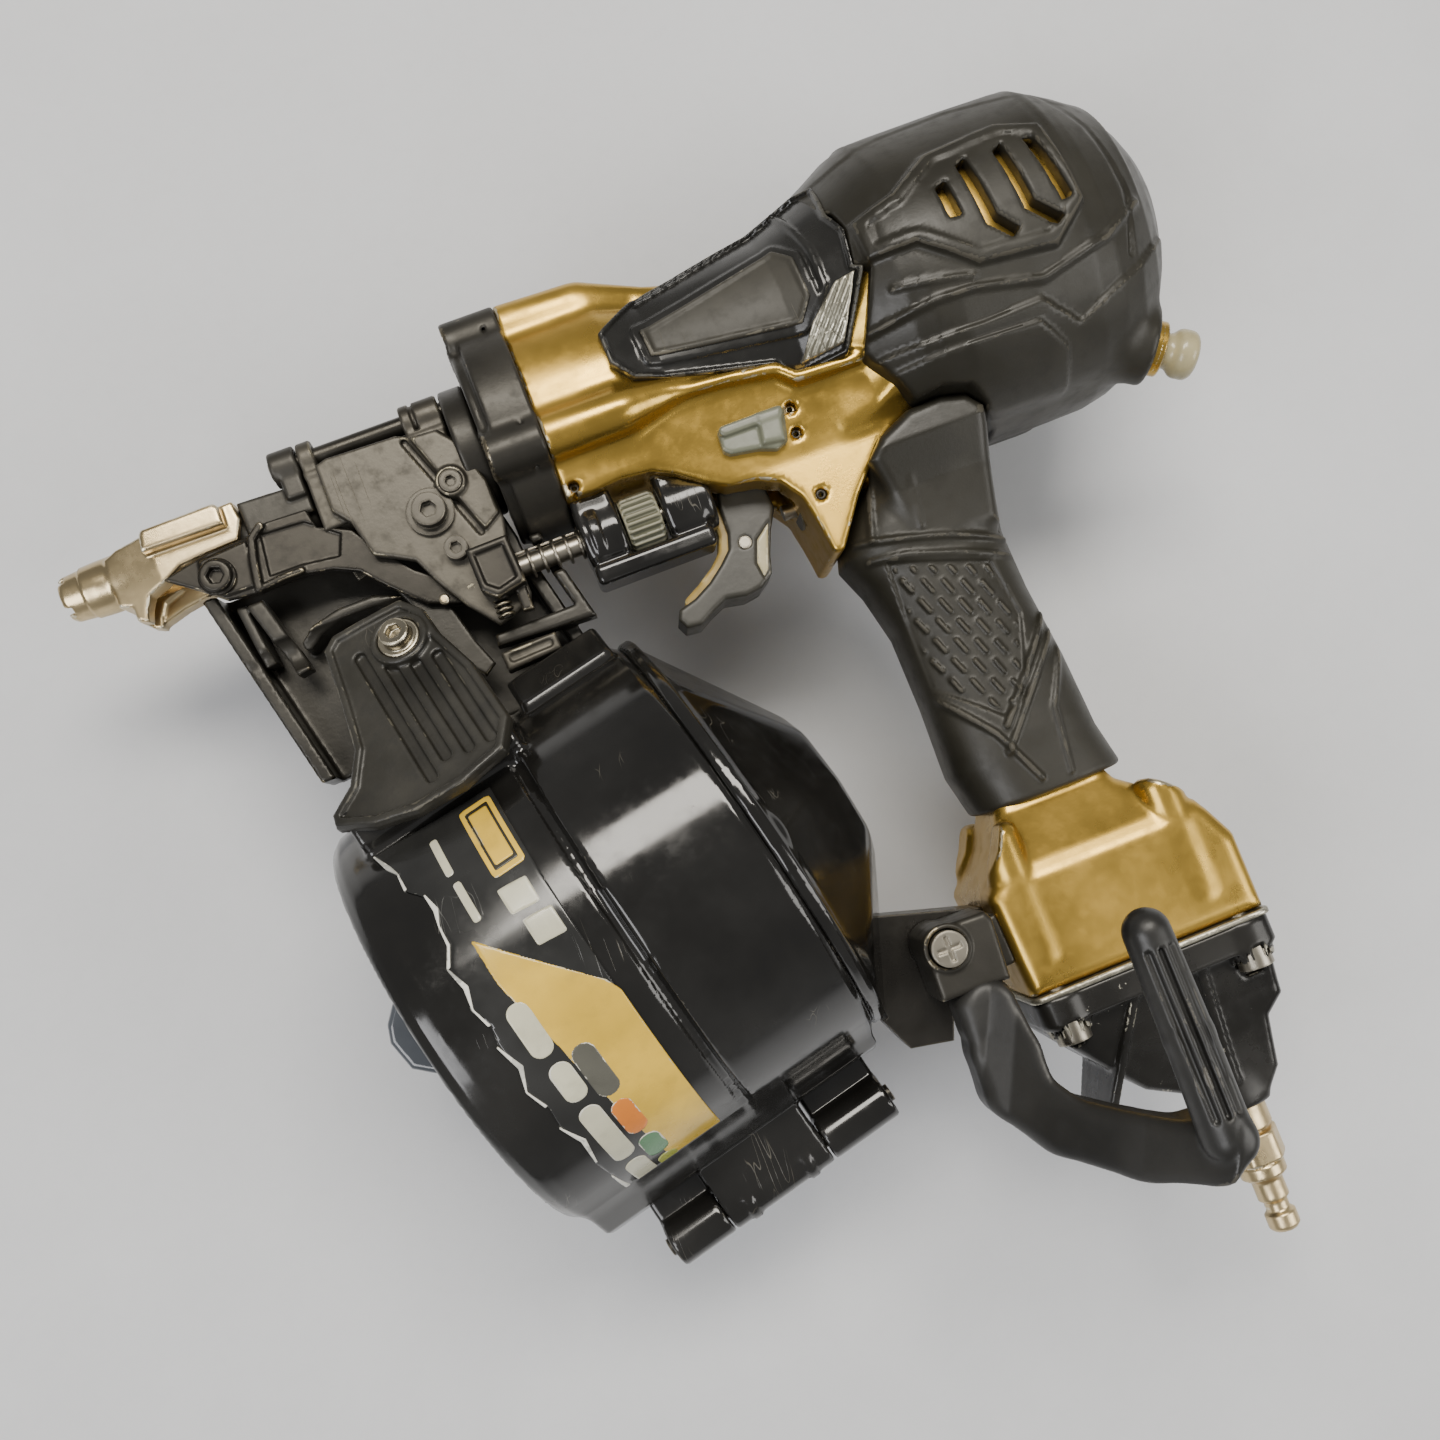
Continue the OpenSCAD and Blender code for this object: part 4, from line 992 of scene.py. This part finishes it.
def film(name, material, pts, lift, stands_for=(), rounding=0, step=0.5):
    us, ss = [p[0] for p in pts], [p[1] for p in pts]
    half = (FILM_HALF + lift) * FILM_STRETCH
    cast(name, "magazine_cover", material,
         lambda u, s, h: both(flat(u, s, pts) - rounding, np.abs(h) - half, 0.1),
         (min(us) - 1 - rounding, min(ss) - 1 - rounding, -2),
         (max(us) + 1 + rounding, max(ss) + 1 + rounding, 2), step, stands_for, DRUM, on_drum)


def pill(name, material, u, s0, s1, half, lift=0.1):
    film(name, material, [(u - 0.2, s0 + half), (u + 0.2, s0 + half), (u + 0.2, s1 - half),
                          (u - 0.2, s1 - half)], lift, rounding=half - 0.2, step=0.4)


TORN = [(-30.6, -46), (-29.4, -40), (-27.6, -37), (-27.9, -32), (-25.2, -28.4), (-24.2, -24),
        (-25.4, -20.6), (-24.9, -16), (-27.6, -12), (-27.3, -7), (-28.6, -2.6), (-27, 1.8),
        (-27.9, 6), (-27.3, 12), (-28.4, 17), (-27, 22), (-27.6, 28), (-26.4, 34), (-27.2, 42),
        (-26.5, 50), (-26.8, 60), (-26.2, 66)]
film("label_film", label_dark, TORN + [(-2.4, 66), (-2.4, -44)], 0, stands_for=["label_plate"])
film("label_wedge", label_gold, [(-21.4, -14.5), (-15.6, -7.4), (-3.2, 7.2), (-1.9, 10.6),
                                 (-2.1, 65.6), (-14.6, 65.6), (-15.6, 40), (-18.4, 12.7),
                                 (-21.4, -3.6)], 0.06)
film("label_plaque", label_gold, [(-9.8, -40.6), (-4.6, -40.6), (-4.6, -23.4), (-9.8, -23.4)],
     0.06, rounding=1.3)
film("label_plaque_panel", label_print, [(-9.5, -39.9), (-4.9, -39.9), (-4.9, -24.1),
                                         (-9.5, -24.1)], 0.1, rounding=0.5, step=0.4)
film("label_plaque_core", label_gold, [(-9.2, -39.2), (-5.2, -39.2), (-5.2, -24.8),
                                       (-9.2, -24.8)], 0.14, rounding=0.2, step=0.4)
for number, (paint, u, s0, s1, half) in enumerate((
        ("white", -21.2, 0.6, 13.4, 2.5), ("white", -21, 15.2, 25.4, 2.5),
        ("white", -21.4, 27, 47, 2.5), ("white", -21.2, 48.8, 64.4, 2.5),
        ("grey", -15.2, 14.6, 28.6, 2.6), ("orange", -15.6, 30.2, 41.8, 2.4),
        ("green", -15.6, 43.4, 54, 2.5), ("lime", -15.4, 55.6, 64.6, 2.3),
        ("white", -18.2, -39.6, -28.4, 0.9), ("white", -18, -26.8, -16.4, 0.9))):
    pill("label_mark_%d" % number, print_paints[paint], u, s0, s1, half)
for number, (u, s) in enumerate(((-11.4, -19.4), (-10.2, -11.4))):
    film("label_block_%d" % number, print_paints["white"],
         [(u, s), (u + 5.6, s + 0.6), (u + 5.6, s + 5.8), (u, s + 5.2)], 0.1, rounding=0.5)
torn_edge = [(u + 0.5 * math.sin(s * 1.7), s) for u, s in TORN]
for number, (first, last) in enumerate(((0, 3), (4, 8), (8, 11), (12, 15), (16, 18), (19, 21))):
    line = torn_edge[first:last + 1]
    film("label_torn_%d" % number, label_paper,
         [(u - 0.2 - 0.3 * (k % 2), s) for k, (u, s) in enumerate(line)]
         + [(u + 0.15 + 0.5 * (k % 3 == 1), s) for k, (u, s) in reversed(list(enumerate(line)))],
         0.08, step=0.3)


# ---- Feed door ----

DOOR_TILT = math.radians(27)
FEED_DOOR = DRUM @ Matrix.Translation((0, 40, 40)) @ Matrix.Rotation(-DOOR_TILT, 4, "X")
DOOR_EDGE = [(-17.5, 51), (-14, 53.2), (3.2, 51.4), (6.4, 46), (6.6, 38), (9.2, 26), (9.6, 9),
             (5, 2.4), (-6, 0.4), (-17, 1.6), (-26, 5.4), (-34, 11.6), (-33.4, 14.4),
             (-27, 17.4), (-22.4, 24), (-20, 36)]
FEED_BOLT = (-1.6, 41.6)


def feed_door(u, v, w):
    edge = flat(u, v, DOOR_EDGE)
    h = w + 0.004 * (u + 4) ** 2
    plate = both(edge, slab(h, 0, 2.8), 0.7)
    rim = both(np.abs(edge + 1.2) - 0.9, slab(h, 1.5, 3.7), 0.4)
    d = smin(plate, rim, 0.5)
    for at, low, high in ((-13.4, 7, 44), (-8.6, 9.5, 38), (-3.6, 8, 34.6), (1.4, 7.4, 33)):
        groove = track(u, v, [(at + 2.5, low), (at + 2.2, high)])
        d = smax(d, -both(groove - 1.3, slab(h, 1.3, 9), 0.3), 0.5)
    d = smin(d, rod(u, v, h, FEED_BOLT, 0, 4.4, 6.6, 0.6), 0.9)
    return smax(d, -rod(u, v, w, FEED_BOLT, 3.4, 9, 5, 0.1), 0.3)


def socket_bolt(at, z0, z1, radius, flange):
    def f(u, v, w):
        r = gap(u, v, at)
        head = both(r - radius, slab(w, z0, z1), 0.45)
        d = smin(head, both(r - flange, slab(w, z0 - 0.2, z0 + 1), 0.3), 0.3)
        socket = hexagon(np.arctan2(v - at[1], u - at[0]) + 0.3, r) - radius * 0.46
        return smax(d, -both(socket, slab(w, z1 - radius * 0.55, z1 + 3), 0.1), 0.25)
    return f


cast("feed_cover", "magazine_cover", worn_plastic, feed_door, (-36, -1, -4),
     (12, 55, 6), 0.5, ["feed_door"], FEED_DOOR)
cast("feed_bolt", "magazine_cover", bright_steel,
     socket_bolt(FEED_BOLT, 3.2, 7, 3.5, 4.8), (-8, 35, 2), (5, 48, 8), 0.35, (), FEED_DOOR)


# ---- Flange and nose; the axes below cross the plane (y, z) ----

DIAL_AXIS = (-31.5, 7.5)
DOOR_PIN = (10.5, 5.5)
BLADE_BORE = 4.2
LEVER_BOLT = (36.5, -9.7)

FLANGE_BOLTS = [(25 * math.cos(math.radians(a)), 25 * math.sin(math.radians(a)))
                for a in (29, 112, -29, -112)]


def flange(x, y, z):
    r = np.hypot(y, z)
    d = both(r - 26.8, slab(x, 106.8, 117.4), 0.8)
    d = smin(d, both(r - 24.6, slab(x, 104.2, 109), 1), 1.4)
    for bolt in FLANGE_BOLTS:
        d = smin(d, rod(y, z, x, bolt, 104, 117.4, 5.6, 0.8), 1.8)
    d = smax(d, -both(np.abs(r - 27.4) - 0.5, slab(x, 113.2, 114.1), 0.1), 0.2)
    for bolt in FLANGE_BOLTS:
        d = smax(d, -rod(y, z, x, bolt, 100, 109.6, 4.8, 0.2), 0.3)
    return smax(smax(d, 4.3 - r, 0.3), 5.4 - gap(y, z, DIAL_AXIS), 0.3)


cast("flange", "tool_body", casting, flange, (103, -33, -33),
     (118, 33, 33), 0.6, ["nose_flange"])


def nose(x, y, z):
    r = np.hypot(y, z)
    tip = flat(x, r, [(0, 0), (0, 4.9), (0.9, 5.5), (5.2, 5.9), (5.6, 6.3), (9, 6.5),
                      (15.5, 6.6), (20, 6.6), (20, 0)])
    for k in range(4):
        a = math.radians(45 + 90 * k)
        cut = np.abs(y * math.cos(a) + z * math.sin(a)) - 0.9
        tip = smax(tip, -both(cut, slab(x, -2, 1.5), 0.1), 0.4)
    side = flat(x, y, [(12.6, 4.2), (16, 5.4), (22.5, 6.2), (44.8, 6.6), (45.4, 2),
                       (43.4, -2.6), (35, -3), (29, -3.6), (25, -5.8), (20.2, -7.6),
                       (18.6, -10.4), (17.8, -13.2), (15.4, -12.2), (15.2, -8.6), (12.4, -7.6)])
    body = both(side, np.abs(z + 0.2) - np.interp(x, [12, 18, 24], [6.6, 7.6, 8.4]), 0.7)
    d = smin(tip, body, 1.2)
    block = flat(x, y, [(22.6, 1.2), (23.4, 5.4), (24.2, 6.2), (41.4, 6.4), (42.4, 5.2),
                        (42.2, 1)])
    d = smin(d, both(block, slab(z, 5, 12.2), 0.9), 0.5)
    back_arm = prism(x, y, z, [(14, -7), (17, -12.6), (24, -10.6), (34, -9), (45, -9.4),
                               (45, -3), (20, -3)], -8.4, -3.2, 0.7)
    d = smin(d, back_arm, 0.8)
    d = smax(d, -both(r - BLADE_BORE, slab(x, -4, 24), 0.05), 0.3)
    d = smax(d, -both(r - 6.4, slab(x, 17, 60), 0.05), 0.3)
    return smax(d, -both(both(slab(y, -30, 0), np.abs(z) - 2.6, 0.1), slab(x, 16, 60), 0.1), 0.3)


cast("nose", "contact_arm", nickel, nose, (-1, -15, -10), (47, 8, 13.5), 0.42,
     ["contact_nose"])


def guide(x, y, z):
    r = np.hypot(y, z)
    d = both(r - 6, slab(x, 28.5, 62), 0.5)
    d = smin(d, both(r - 16, slab(x, 98, 104), 0.8), 0.6)
    d = smin(d, box(x, y, z, (60, 99), (-8, 12), (-12, -0.4), 1), 1)
    rail = prism(x, y, z, [(45.6, 5.9), (46, -2), (62, -2), (62, 4.4), (58, 5.4)], -6.6, 7.6,
                 0.6)
    d = smin(d, rail, 0.8)
    ridge = prism(x, y, z, [(46, 5.6), (47, 6.8), (56.5, 6.4), (57, 5)], -4, 3, 0.5)
    d = smin(d, ridge, 0.5)
    collar = smin(box(x, y, z, (57.2, 62), (2, 10.5), (-5, 9), 0.7),
                  rod(y, z, x, DOOR_PIN, 55.8, 62.2, 4.3, 0.6), 1)
    d = smin(d, collar, 0.8)
    d = smax(d, -both(r - BLADE_BORE, slab(x, 20, 110), 0.1), 0.3)
    d = smax(d, -both(both(slab(y, -20, 0), np.abs(z) - 2, 0.1), slab(x, 20, 94), 0.1), 0.2)
    return smax(d, 2.25 - gap(y, z, DOOR_PIN), 0.2)


cast("guide", "tool_body", casting, guide, (27, -17, -17), (105, 17, 17), 0.55,
     ["blade_guide"])

LEVER = [(24.2, -5.6), (31, -4.2), (36, -3.2), (46.4, -2.8), (50.8, -1), (60.4, -1.4),
         (61.2, -6), (68.8, -9.6), (72.5, -15), (79, -23.6), (84, -27.4), (98, -28.2), (98, -35),
         (86, -35), (79, -32.4), (72, -25.4), (67, -19.6), (61.6, -17), (55.4, -15.8),
         (45, -16.2), (36.5, -15.2), (31.4, -10.9)]


def lever(x, y, z):
    d = both(flat(x, y, LEVER), slab(z, 6.6, 8.9), 0.5)
    arch = track(x, y, [(44.6, -15.6), (50.5, -14.9), (54.8, -14.9)])
    d = smin(d, both(arch - 0.7, slab(z, 7, 10.2), 0.4), 0.4)
    spine = track(x, y, [(49.4, -1.8), (46.6, -4), (45.4, -9), (44.4, -15.4)])
    d = smin(d, both(spine - 0.9, slab(z, 7, 10.6), 0.4), 0.6)
    head = prism(x, y, z, [(32.4, -10.4), (33.6, -4.6), (45.2, -3.8), (44.2, -14.6),
                           (37, -14.4)], 7, 9.8, 0.5)
    d = smin(d, head, 0.5)
    pocket = prism(x, y, z, [(48.6, -3.4), (59, -4), (66, -9.6), (64, -14.6), (55, -13.4),
                             (47.4, -13.4)], 8.2, 12, 0.3)
    d = smax(d, -pocket, 0.3)
    return smax(d, 2.2 - gap(x, y, LEVER_BOLT), 0.1)


cast("lever", "contact_arm", oxide, lever, (23, -37, 5.5), (99, 0, 11.5), 0.42,
     ["push_lever"])
cast("lever_head", "contact_arm", oxide,
     socket_bolt(LEVER_BOLT, 9.8, 12.6, 3.7, 4.4), (31, -15, 8.5), (42, -4, 14), 0.35,
     ["lever_bolt"])

DOOR = [(66.2, 6.4), (69, 7.2), (86, 6.6), (88.5, 5.2), (95.4, 4.8), (98.8, 0.6), (102.2, -10),
        (102.6, -20), (101.6, -24.4), (102.4, -38.6), (101.4, -41), (93, -43.4), (87.4, -36.4),
        (83.4, -29.6), (80.2, -22.6), (76, -20.2), (71.6, -18), (69.4, -9), (66.2, -5)]
DOOR_SEAT = (94.2, -8.6)


def door(x, y, z):
    d = both(flat(x, y, DOOR), slab(z, 9.5, 12.3), 0.6)
    block = prism(x, y, z, [(62.8, 6.4), (97.2, 6.4), (97.2, -8), (62.8, -8)], 0.4, 9.4, 0.7)
    d = smin(d, block, 0.5)
    band = prism(x, y, z, [(88.8, 4.4), (95, 4.2), (98.2, 0.4), (102, -11), (102, -19),
                           (97.8, -21.6), (96.4, -18)], 11, 14, 0.5)
    d = smin(d, band, 0.4)
    groove = track(x, y, [(87.2, 4.4), (91.2, -6.4), (96.6, -21.4)])
    d = smax(d, -both(groove - 0.75, slab(z, 10.9, 20), 0.2), 0.4)
    d = smin(d, rod(x, y, z, DOOR_SEAT, 11, 15, 3.6, 0.6), 0.8)
    d = smax(d, -rod(x, y, z, DOOR_SEAT, 12.4, 20, 2.7, 0.1), 0.2)
    for lo, hi in ((62.8, 66.4), (88, 97.4)):
        eye = rod(y, z, x, DOOR_PIN, lo, hi, 4.2, 0.6)
        leaf = box(x, y, z, (lo, hi), (5, 10.5), (1.6, 9.3), 0.6)
        d = smin(d, smin(eye, leaf, 0.6), 0.8)
    flute = both(np.abs(x - 91) - 0.5, np.abs(gap(y, z, DOOR_PIN) - 4.2) - 0.6, 0.1)
    d = smax(d, -flute, 0.3)
    d = smax(d, -both(np.hypot(y, z) - BLADE_BORE, slab(x, 50, 110), 0.05), 0.2)
    d = smax(d, 2.25 - gap(y, z, DOOR_PIN), 0.2)
    slot = both(both(slab(y, -20, 0), np.abs(z) - np.where(x > 84, 4.2, 2), 0.05),
                slab(x, 50, 94), 0.1)
    d = smax(d, -slot, 0.2)
    return smax(d, -box(x, y, z, (95.5, 104), (-36, -27), (8, 11.7), 0.3), 0.3)


cast("door", "nose_door", worn_casting, door, (62, -44, -1), (104, 16, 17),
     0.45, ["nose_door"])


def latch(x, y, z):
    d = prism(x, y, z, [(91.8, -25.8), (101.8, -25.6), (102.4, -37.2), (95, -38.8), (92, -36)],
              12.9, 18.8, 0.8)
    d = smax(d, -prism(x, y, z, [(93.4, -27.6), (100.2, -27.4), (100.6, -35.6), (96, -36.8),
                                 (93.6, -34.8)], 18.2, 20, 0.3), 0.3)
    tongue = prism(x, y, z, [(99.2, -36), (101.8, -36), (101.8, -43.4), (99.2, -43)], 12.9, 16,
                   0.5)
    d = smin(d, tongue, 0.5)
    coil = np.hypot(np.hypot(x - 95.4, z - 15.4) - 1.7, ((y + 40.6) % 1.3) - 0.65) - 0.42
    spring = smax(coil, slab(y, -43.6, -38.6), 0.1)
    return smin(d, spring, 0.1)


cast("latch", "door_latch", oxide, latch, (90, -45, 12), (104, -24, 20), 0.4,
     ["door_latch"])


def wall(x, y, x0, thick):
    lean = x0 + (-8.2 - y) * 12.4 / 53.8
    return both(slab(x - lean, 0, thick), slab(y, -62, -8.2), 0.4)


def feed_housing(x, y, z):
    plate = prism(x, y, z, [(60, -8.2), (99, -8.2), (112, -62), (44, -62), (32, -12), (60, -12)],
                  -9, -5.3, 0.7)
    front = both(wall(x, y, 28.8, 3.4), slab(z, -9, 3.4), 0.5)
    front = smax(front, -box(x, y, z, (20, 60), (-12, 0), (-20, 20), 0.1), 0.2)
    rear = both(wall(x, y, 97, 3.4), slab(z, -9, 3.4), 0.5)
    d = smin(smin(plate, front, 0.9), rear, 0.9)
    leg = prism(x, y, z, [(39.4, -17.4), (43.4, -17.2), (48.6, -36.4), (45.2, -37)], 0, 6.2,
                0.6)
    leg2 = prism(x, y, z, [(36.6, -16.6), (39, -16.6), (41, -31.8), (38.4, -32.2)], -4, 4.4, 0.6)
    d = smin(d, smin(leg, leg2, 0.2), 0.8)
    arch = track(x, y, [(49.3, -30.2), (52.6, -28), (59.1, -26.4), (67.4, -26.4), (75, -29.4)])
    d = smin(d, both(arch - 1.3, slab(z, -8, 5.6), 0.6), 0.8)
    for k in range(3):
        rib = track(x, y, [(62 + 13 * k, -16), (66 + 13 * k, -58)])
        d = smin(d, both(rib - 0.9, slab(z, -10.2, -8.6), 0.3), 0.5)
    shelf = prism(x, y, z, [(91, -44.6), (90.6, -47.4), (114.6, -48.6), (108.6, -24),
                            (105.8, -24), (110.8, -44.4)], 3, 9.2, 0.6)
    d = smin(d, shelf, 0.6)
    d = smax(d, 4.4 - gap(y, z, DIAL_AXIS), 0.3)
    d = smax(d, -both(np.hypot(y, z) - 27.1, slab(x, 103.9, 119), 0.1), 0.2)
    return smax(d, -both(np.hypot(y, z) - 16.2, slab(x, 97.8, 106), 0.1), 0.2)


cast("feed_case", "tool_body", casting, feed_housing, (27, -63, -11),
     (117, -7, 10.5), 0.6, ["feed_housing"])


def tag(x, y, z):
    d = prism(x, y, z, [(90.8, -49.6), (104.2, -49.2), (104.4, -53.4), (91, -54.2)], 6.2, 12,
              0.7)
    line = track(x, y, [(93.2, -51.6), (102, -51.3)])
    return smax(d, -both(line - 0.9, slab(z, 11.5, 14), 0.2), 0.4)


def strap(x, y, z):
    """The bent strip that leads the nails under the nose."""
    return prism(x, y, z, [(71.9, -23.6), (74.9, -30.4), (77, -39.4), (81.2, -47.5),
                           (85.7, -52.5), (88.7, -50.4), (86.2, -43.9), (83.6, -33.7),
                           (78.3, -26.1)], 4.9, 6.3, 0.5)


cast("strap", "tool_body", casting, strap, (71, -54, 4), (90, -22, 7), 0.4)
cast("lever_pin", "contact_arm", nickel,
     lambda x, y, z: rod(x, y, z, (83, -32.7), 8, 9.4, 1.3, 0.5),
     (81, -35, 7), (85, -31, 10), 0.3)
cast("tag", "tool_body", worn_casting, tag, (89, -56, 5), (106, -47, 13), 0.4)


# ---- Depth adjuster ----

def adjuster(x, y, z):
    r = gap(y, z, DIAL_AXIS)
    left = smin(both(r - 7.9, slab(x, 117.7, 127.4), 1),
                box(x, y, z, (117.7, 127.4), (-38, -20), (0.6, 14.4), 1.6), 1.2)
    right = smin(both(r - 7.9, slab(x, 137.4, 149.4), 1.6),
                 box(x, y, z, (137.4, 147), (-38, -22), (0.6, 14.4), 1.8), 1.2)
    bar = box(x, y, z, (117.7, 147), (-43.4, -38.6), (1.2, 13.8), 1.4)
    d = smin(smin(left, right, 0.3), bar, 1.6)
    d = smin(d, both(r - 8.6, slab(x, 119.8, 122.4), 0.5), 0.5)
    d = smax(d, -both(flat(x, y, ARCH), np.abs(z) - 17.6, 0.1), 0.3)
    d = smax(d, 24.5 - np.hypot(y, z), 0.3)
    d = smax(d, -both(r - 7.4, slab(x, 127.5, 137.3), 0.1), 0.2)
    return smax(d, 2.8 - r, 0.2)


cast("adjuster", "tool_body", gloss, adjuster, (116, -45, -2), (151, -19, 17),
     0.5, ["adjuster_housing"])


def dial(x, y, z):
    dy, dz = y - DIAL_AXIS[0], z - DIAL_AXIS[1]
    r, a = np.hypot(dy, dz), np.arctan2(dz, dy)
    ridge = 0.55 * np.cos(22 * a)
    d = both(r - 6.2 - ridge * ramp(np.abs(x - 132.4), 4.2, 3.4), slab(x, 128, 136.8), 0.3)
    return smax(d, 2.85 - r, 0.2)


cast("dial", "dial", dial_paint, dial, (127, -39.5, 0), (138, -23.5, 15.5), 0.35,
     ["adjuster_dial"])


# ---- Trigger ----

TRIGGER = [(151.6, -30.4), (157.5, -25.9), (162.6, -30.6), (163.2, -39), (160.4, -43.8),
           (158.2, -49), (156.8, -53.6), (153.4, -56), (149.4, -56.6), (144.4, -55.6),
           (140.6, -57.2), (137, -59.2), (133.4, -58.8), (132.2, -56.2), (133.2, -54),
           (137.6, -52.8), (142.2, -50.4), (146.2, -47.4), (149.2, -44.6), (150.4, -41),
           (150.6, -35)]
TRIGGER_PIN = (157.5, -29.5)
TRIGGER_ARM_PIN = (153.5, -44.5)


def trigger(x, y, z):
    d = both(flat(x, y, TRIGGER), np.abs(z) - 6.9, 1)
    cup = flat(x, y, [(152.8, -22), (152.8, -41.5), (151, -44), (151, -48), (156, -49.2),
                      (172, -49), (172, -22)])
    d = smax(d, -both(cup, np.abs(z) - 4.1, 0.3), 0.4)
    inlay = flat(x, y, [(156.2, -44.6), (160.6, -41.6), (158.4, -47.8), (156.6, -52.6),
                        (154.6, -54.2), (154, -50)])
    d = smax(d, -both(inlay, 6.3 - np.abs(z), 0.1), 0.4)
    d = smax(d, 2.05 - gap(x, y, TRIGGER_PIN), 0.2)
    return smax(d, 1.55 - gap(x, y, TRIGGER_ARM_PIN), 0.2)


cast("trigger_blade", "trigger", trigger_dark, trigger, (131, -61, -8.5),
     (165, -24, 8.5), 0.45, ["trigger"])


def inlay(x, y, z):
    shape = flat(x, y, [(156.4, -44.9), (160.3, -42), (158.1, -47.7), (156.3, -52.4),
                        (154.8, -53.7), (154.4, -50.1)])
    return both(both(shape, np.abs(z) - 6.75, 0.3), 5.9 - np.abs(z), 0.1)


cast("trigger_inlay", "trigger", cream, inlay, (153, -55, -8),
     (162, -40, 8), 0.4)


def face(x, y, z):
    front = track(x, y, [(149.6, -34.8), (149.8, -41), (148.2, -45), (144.8, -48.2),
                         (140.4, -51), (136.8, -52.7)])
    width = np.interp(x, [136, 141, 149], [3.2, 5, 5.4])
    return both(front - 1.5, np.abs(z) - width, 0.8)


cast("trigger_pad", "trigger", yellow, face, (133, -56, -7),
     (153, -32, 7), 0.42, ["trigger_face"])


# ---- Floor, light and camera ----

def area(name, at, aim, size, power, color):
    data = bpy.data.lights.new(name, "AREA")
    data.shape = "RECTANGLE"
    data.size, data.size_y = size
    data.energy = power
    data.color = color
    obj = show(name, data)
    obj.location = at
    obj.rotation_mode = "QUATERNION"
    obj.rotation_quaternion = (Vector(aim) - Vector(at)).to_track_quat("-Z", "Y")


FLOOR_REACH = 3.0
FLOOR_GAP = 0.0005
centre = (CAD_BOX[0] + CAD_BOX[1]) / 2
floor_z = CAD_BOX[0].z - FLOOR_GAP
floor_mesh = bpy.data.meshes.new("floor")
floor_mesh.from_pydata([(sx * FLOOR_REACH, sy * FLOOR_REACH, floor_z)
                        for sx, sy in ((-1, -1), (1, -1), (1, 1), (-1, 1))], [], [(0, 1, 2, 3)])
floor_mesh.materials.append(finish("floor", (0.62, 0.63, 0.65), 0.7, vary=0.02, dirt=0.03,
                                   grain=0.02, grain_scale=700))
floor = show("floor", floor_mesh)

area("key", (0.25, 0.45, 1.1), centre, (0.9, 0.35), 16, (1.0, 0.95, 0.86))
area("fill", (-0.55, -0.35, 0.9), centre, (0.7, 0.5), 7, (0.98, 0.98, 1.0))
area("side", (0.8, -0.5, 0.6), centre, (0.5, 0.5), 4, (1.0, 0.98, 0.94))
world = bpy.data.worlds.new("studio")
world.use_nodes = True
sky = world.node_tree.nodes["Background"].inputs
sky["Color"].default_value = (0.79, 0.785, 0.775, 1)
sky["Strength"].default_value = 0.35
bpy.context.scene.world = world

camera_data = bpy.data.cameras.new("camera")
camera_data.sensor_width = 36
camera_data.lens = 36.25
camera = show("camera", camera_data)
CAMERA_RIGHT, CAMERA_UP = (0.931, -0.3624, 0.0447), (0.3575, 0.9295, 0.0909)
CAMERA_BACK, CAMERA_AT = (-0.0745, -0.0686, 0.9949), (0.1074, -0.1049, 0.3436)
pose = Matrix((CAMERA_RIGHT, CAMERA_UP, CAMERA_BACK)).transposed().to_4x4()
pose.translation = CAMERA_AT
camera.matrix_world = pose
bpy.context.scene.camera = camera
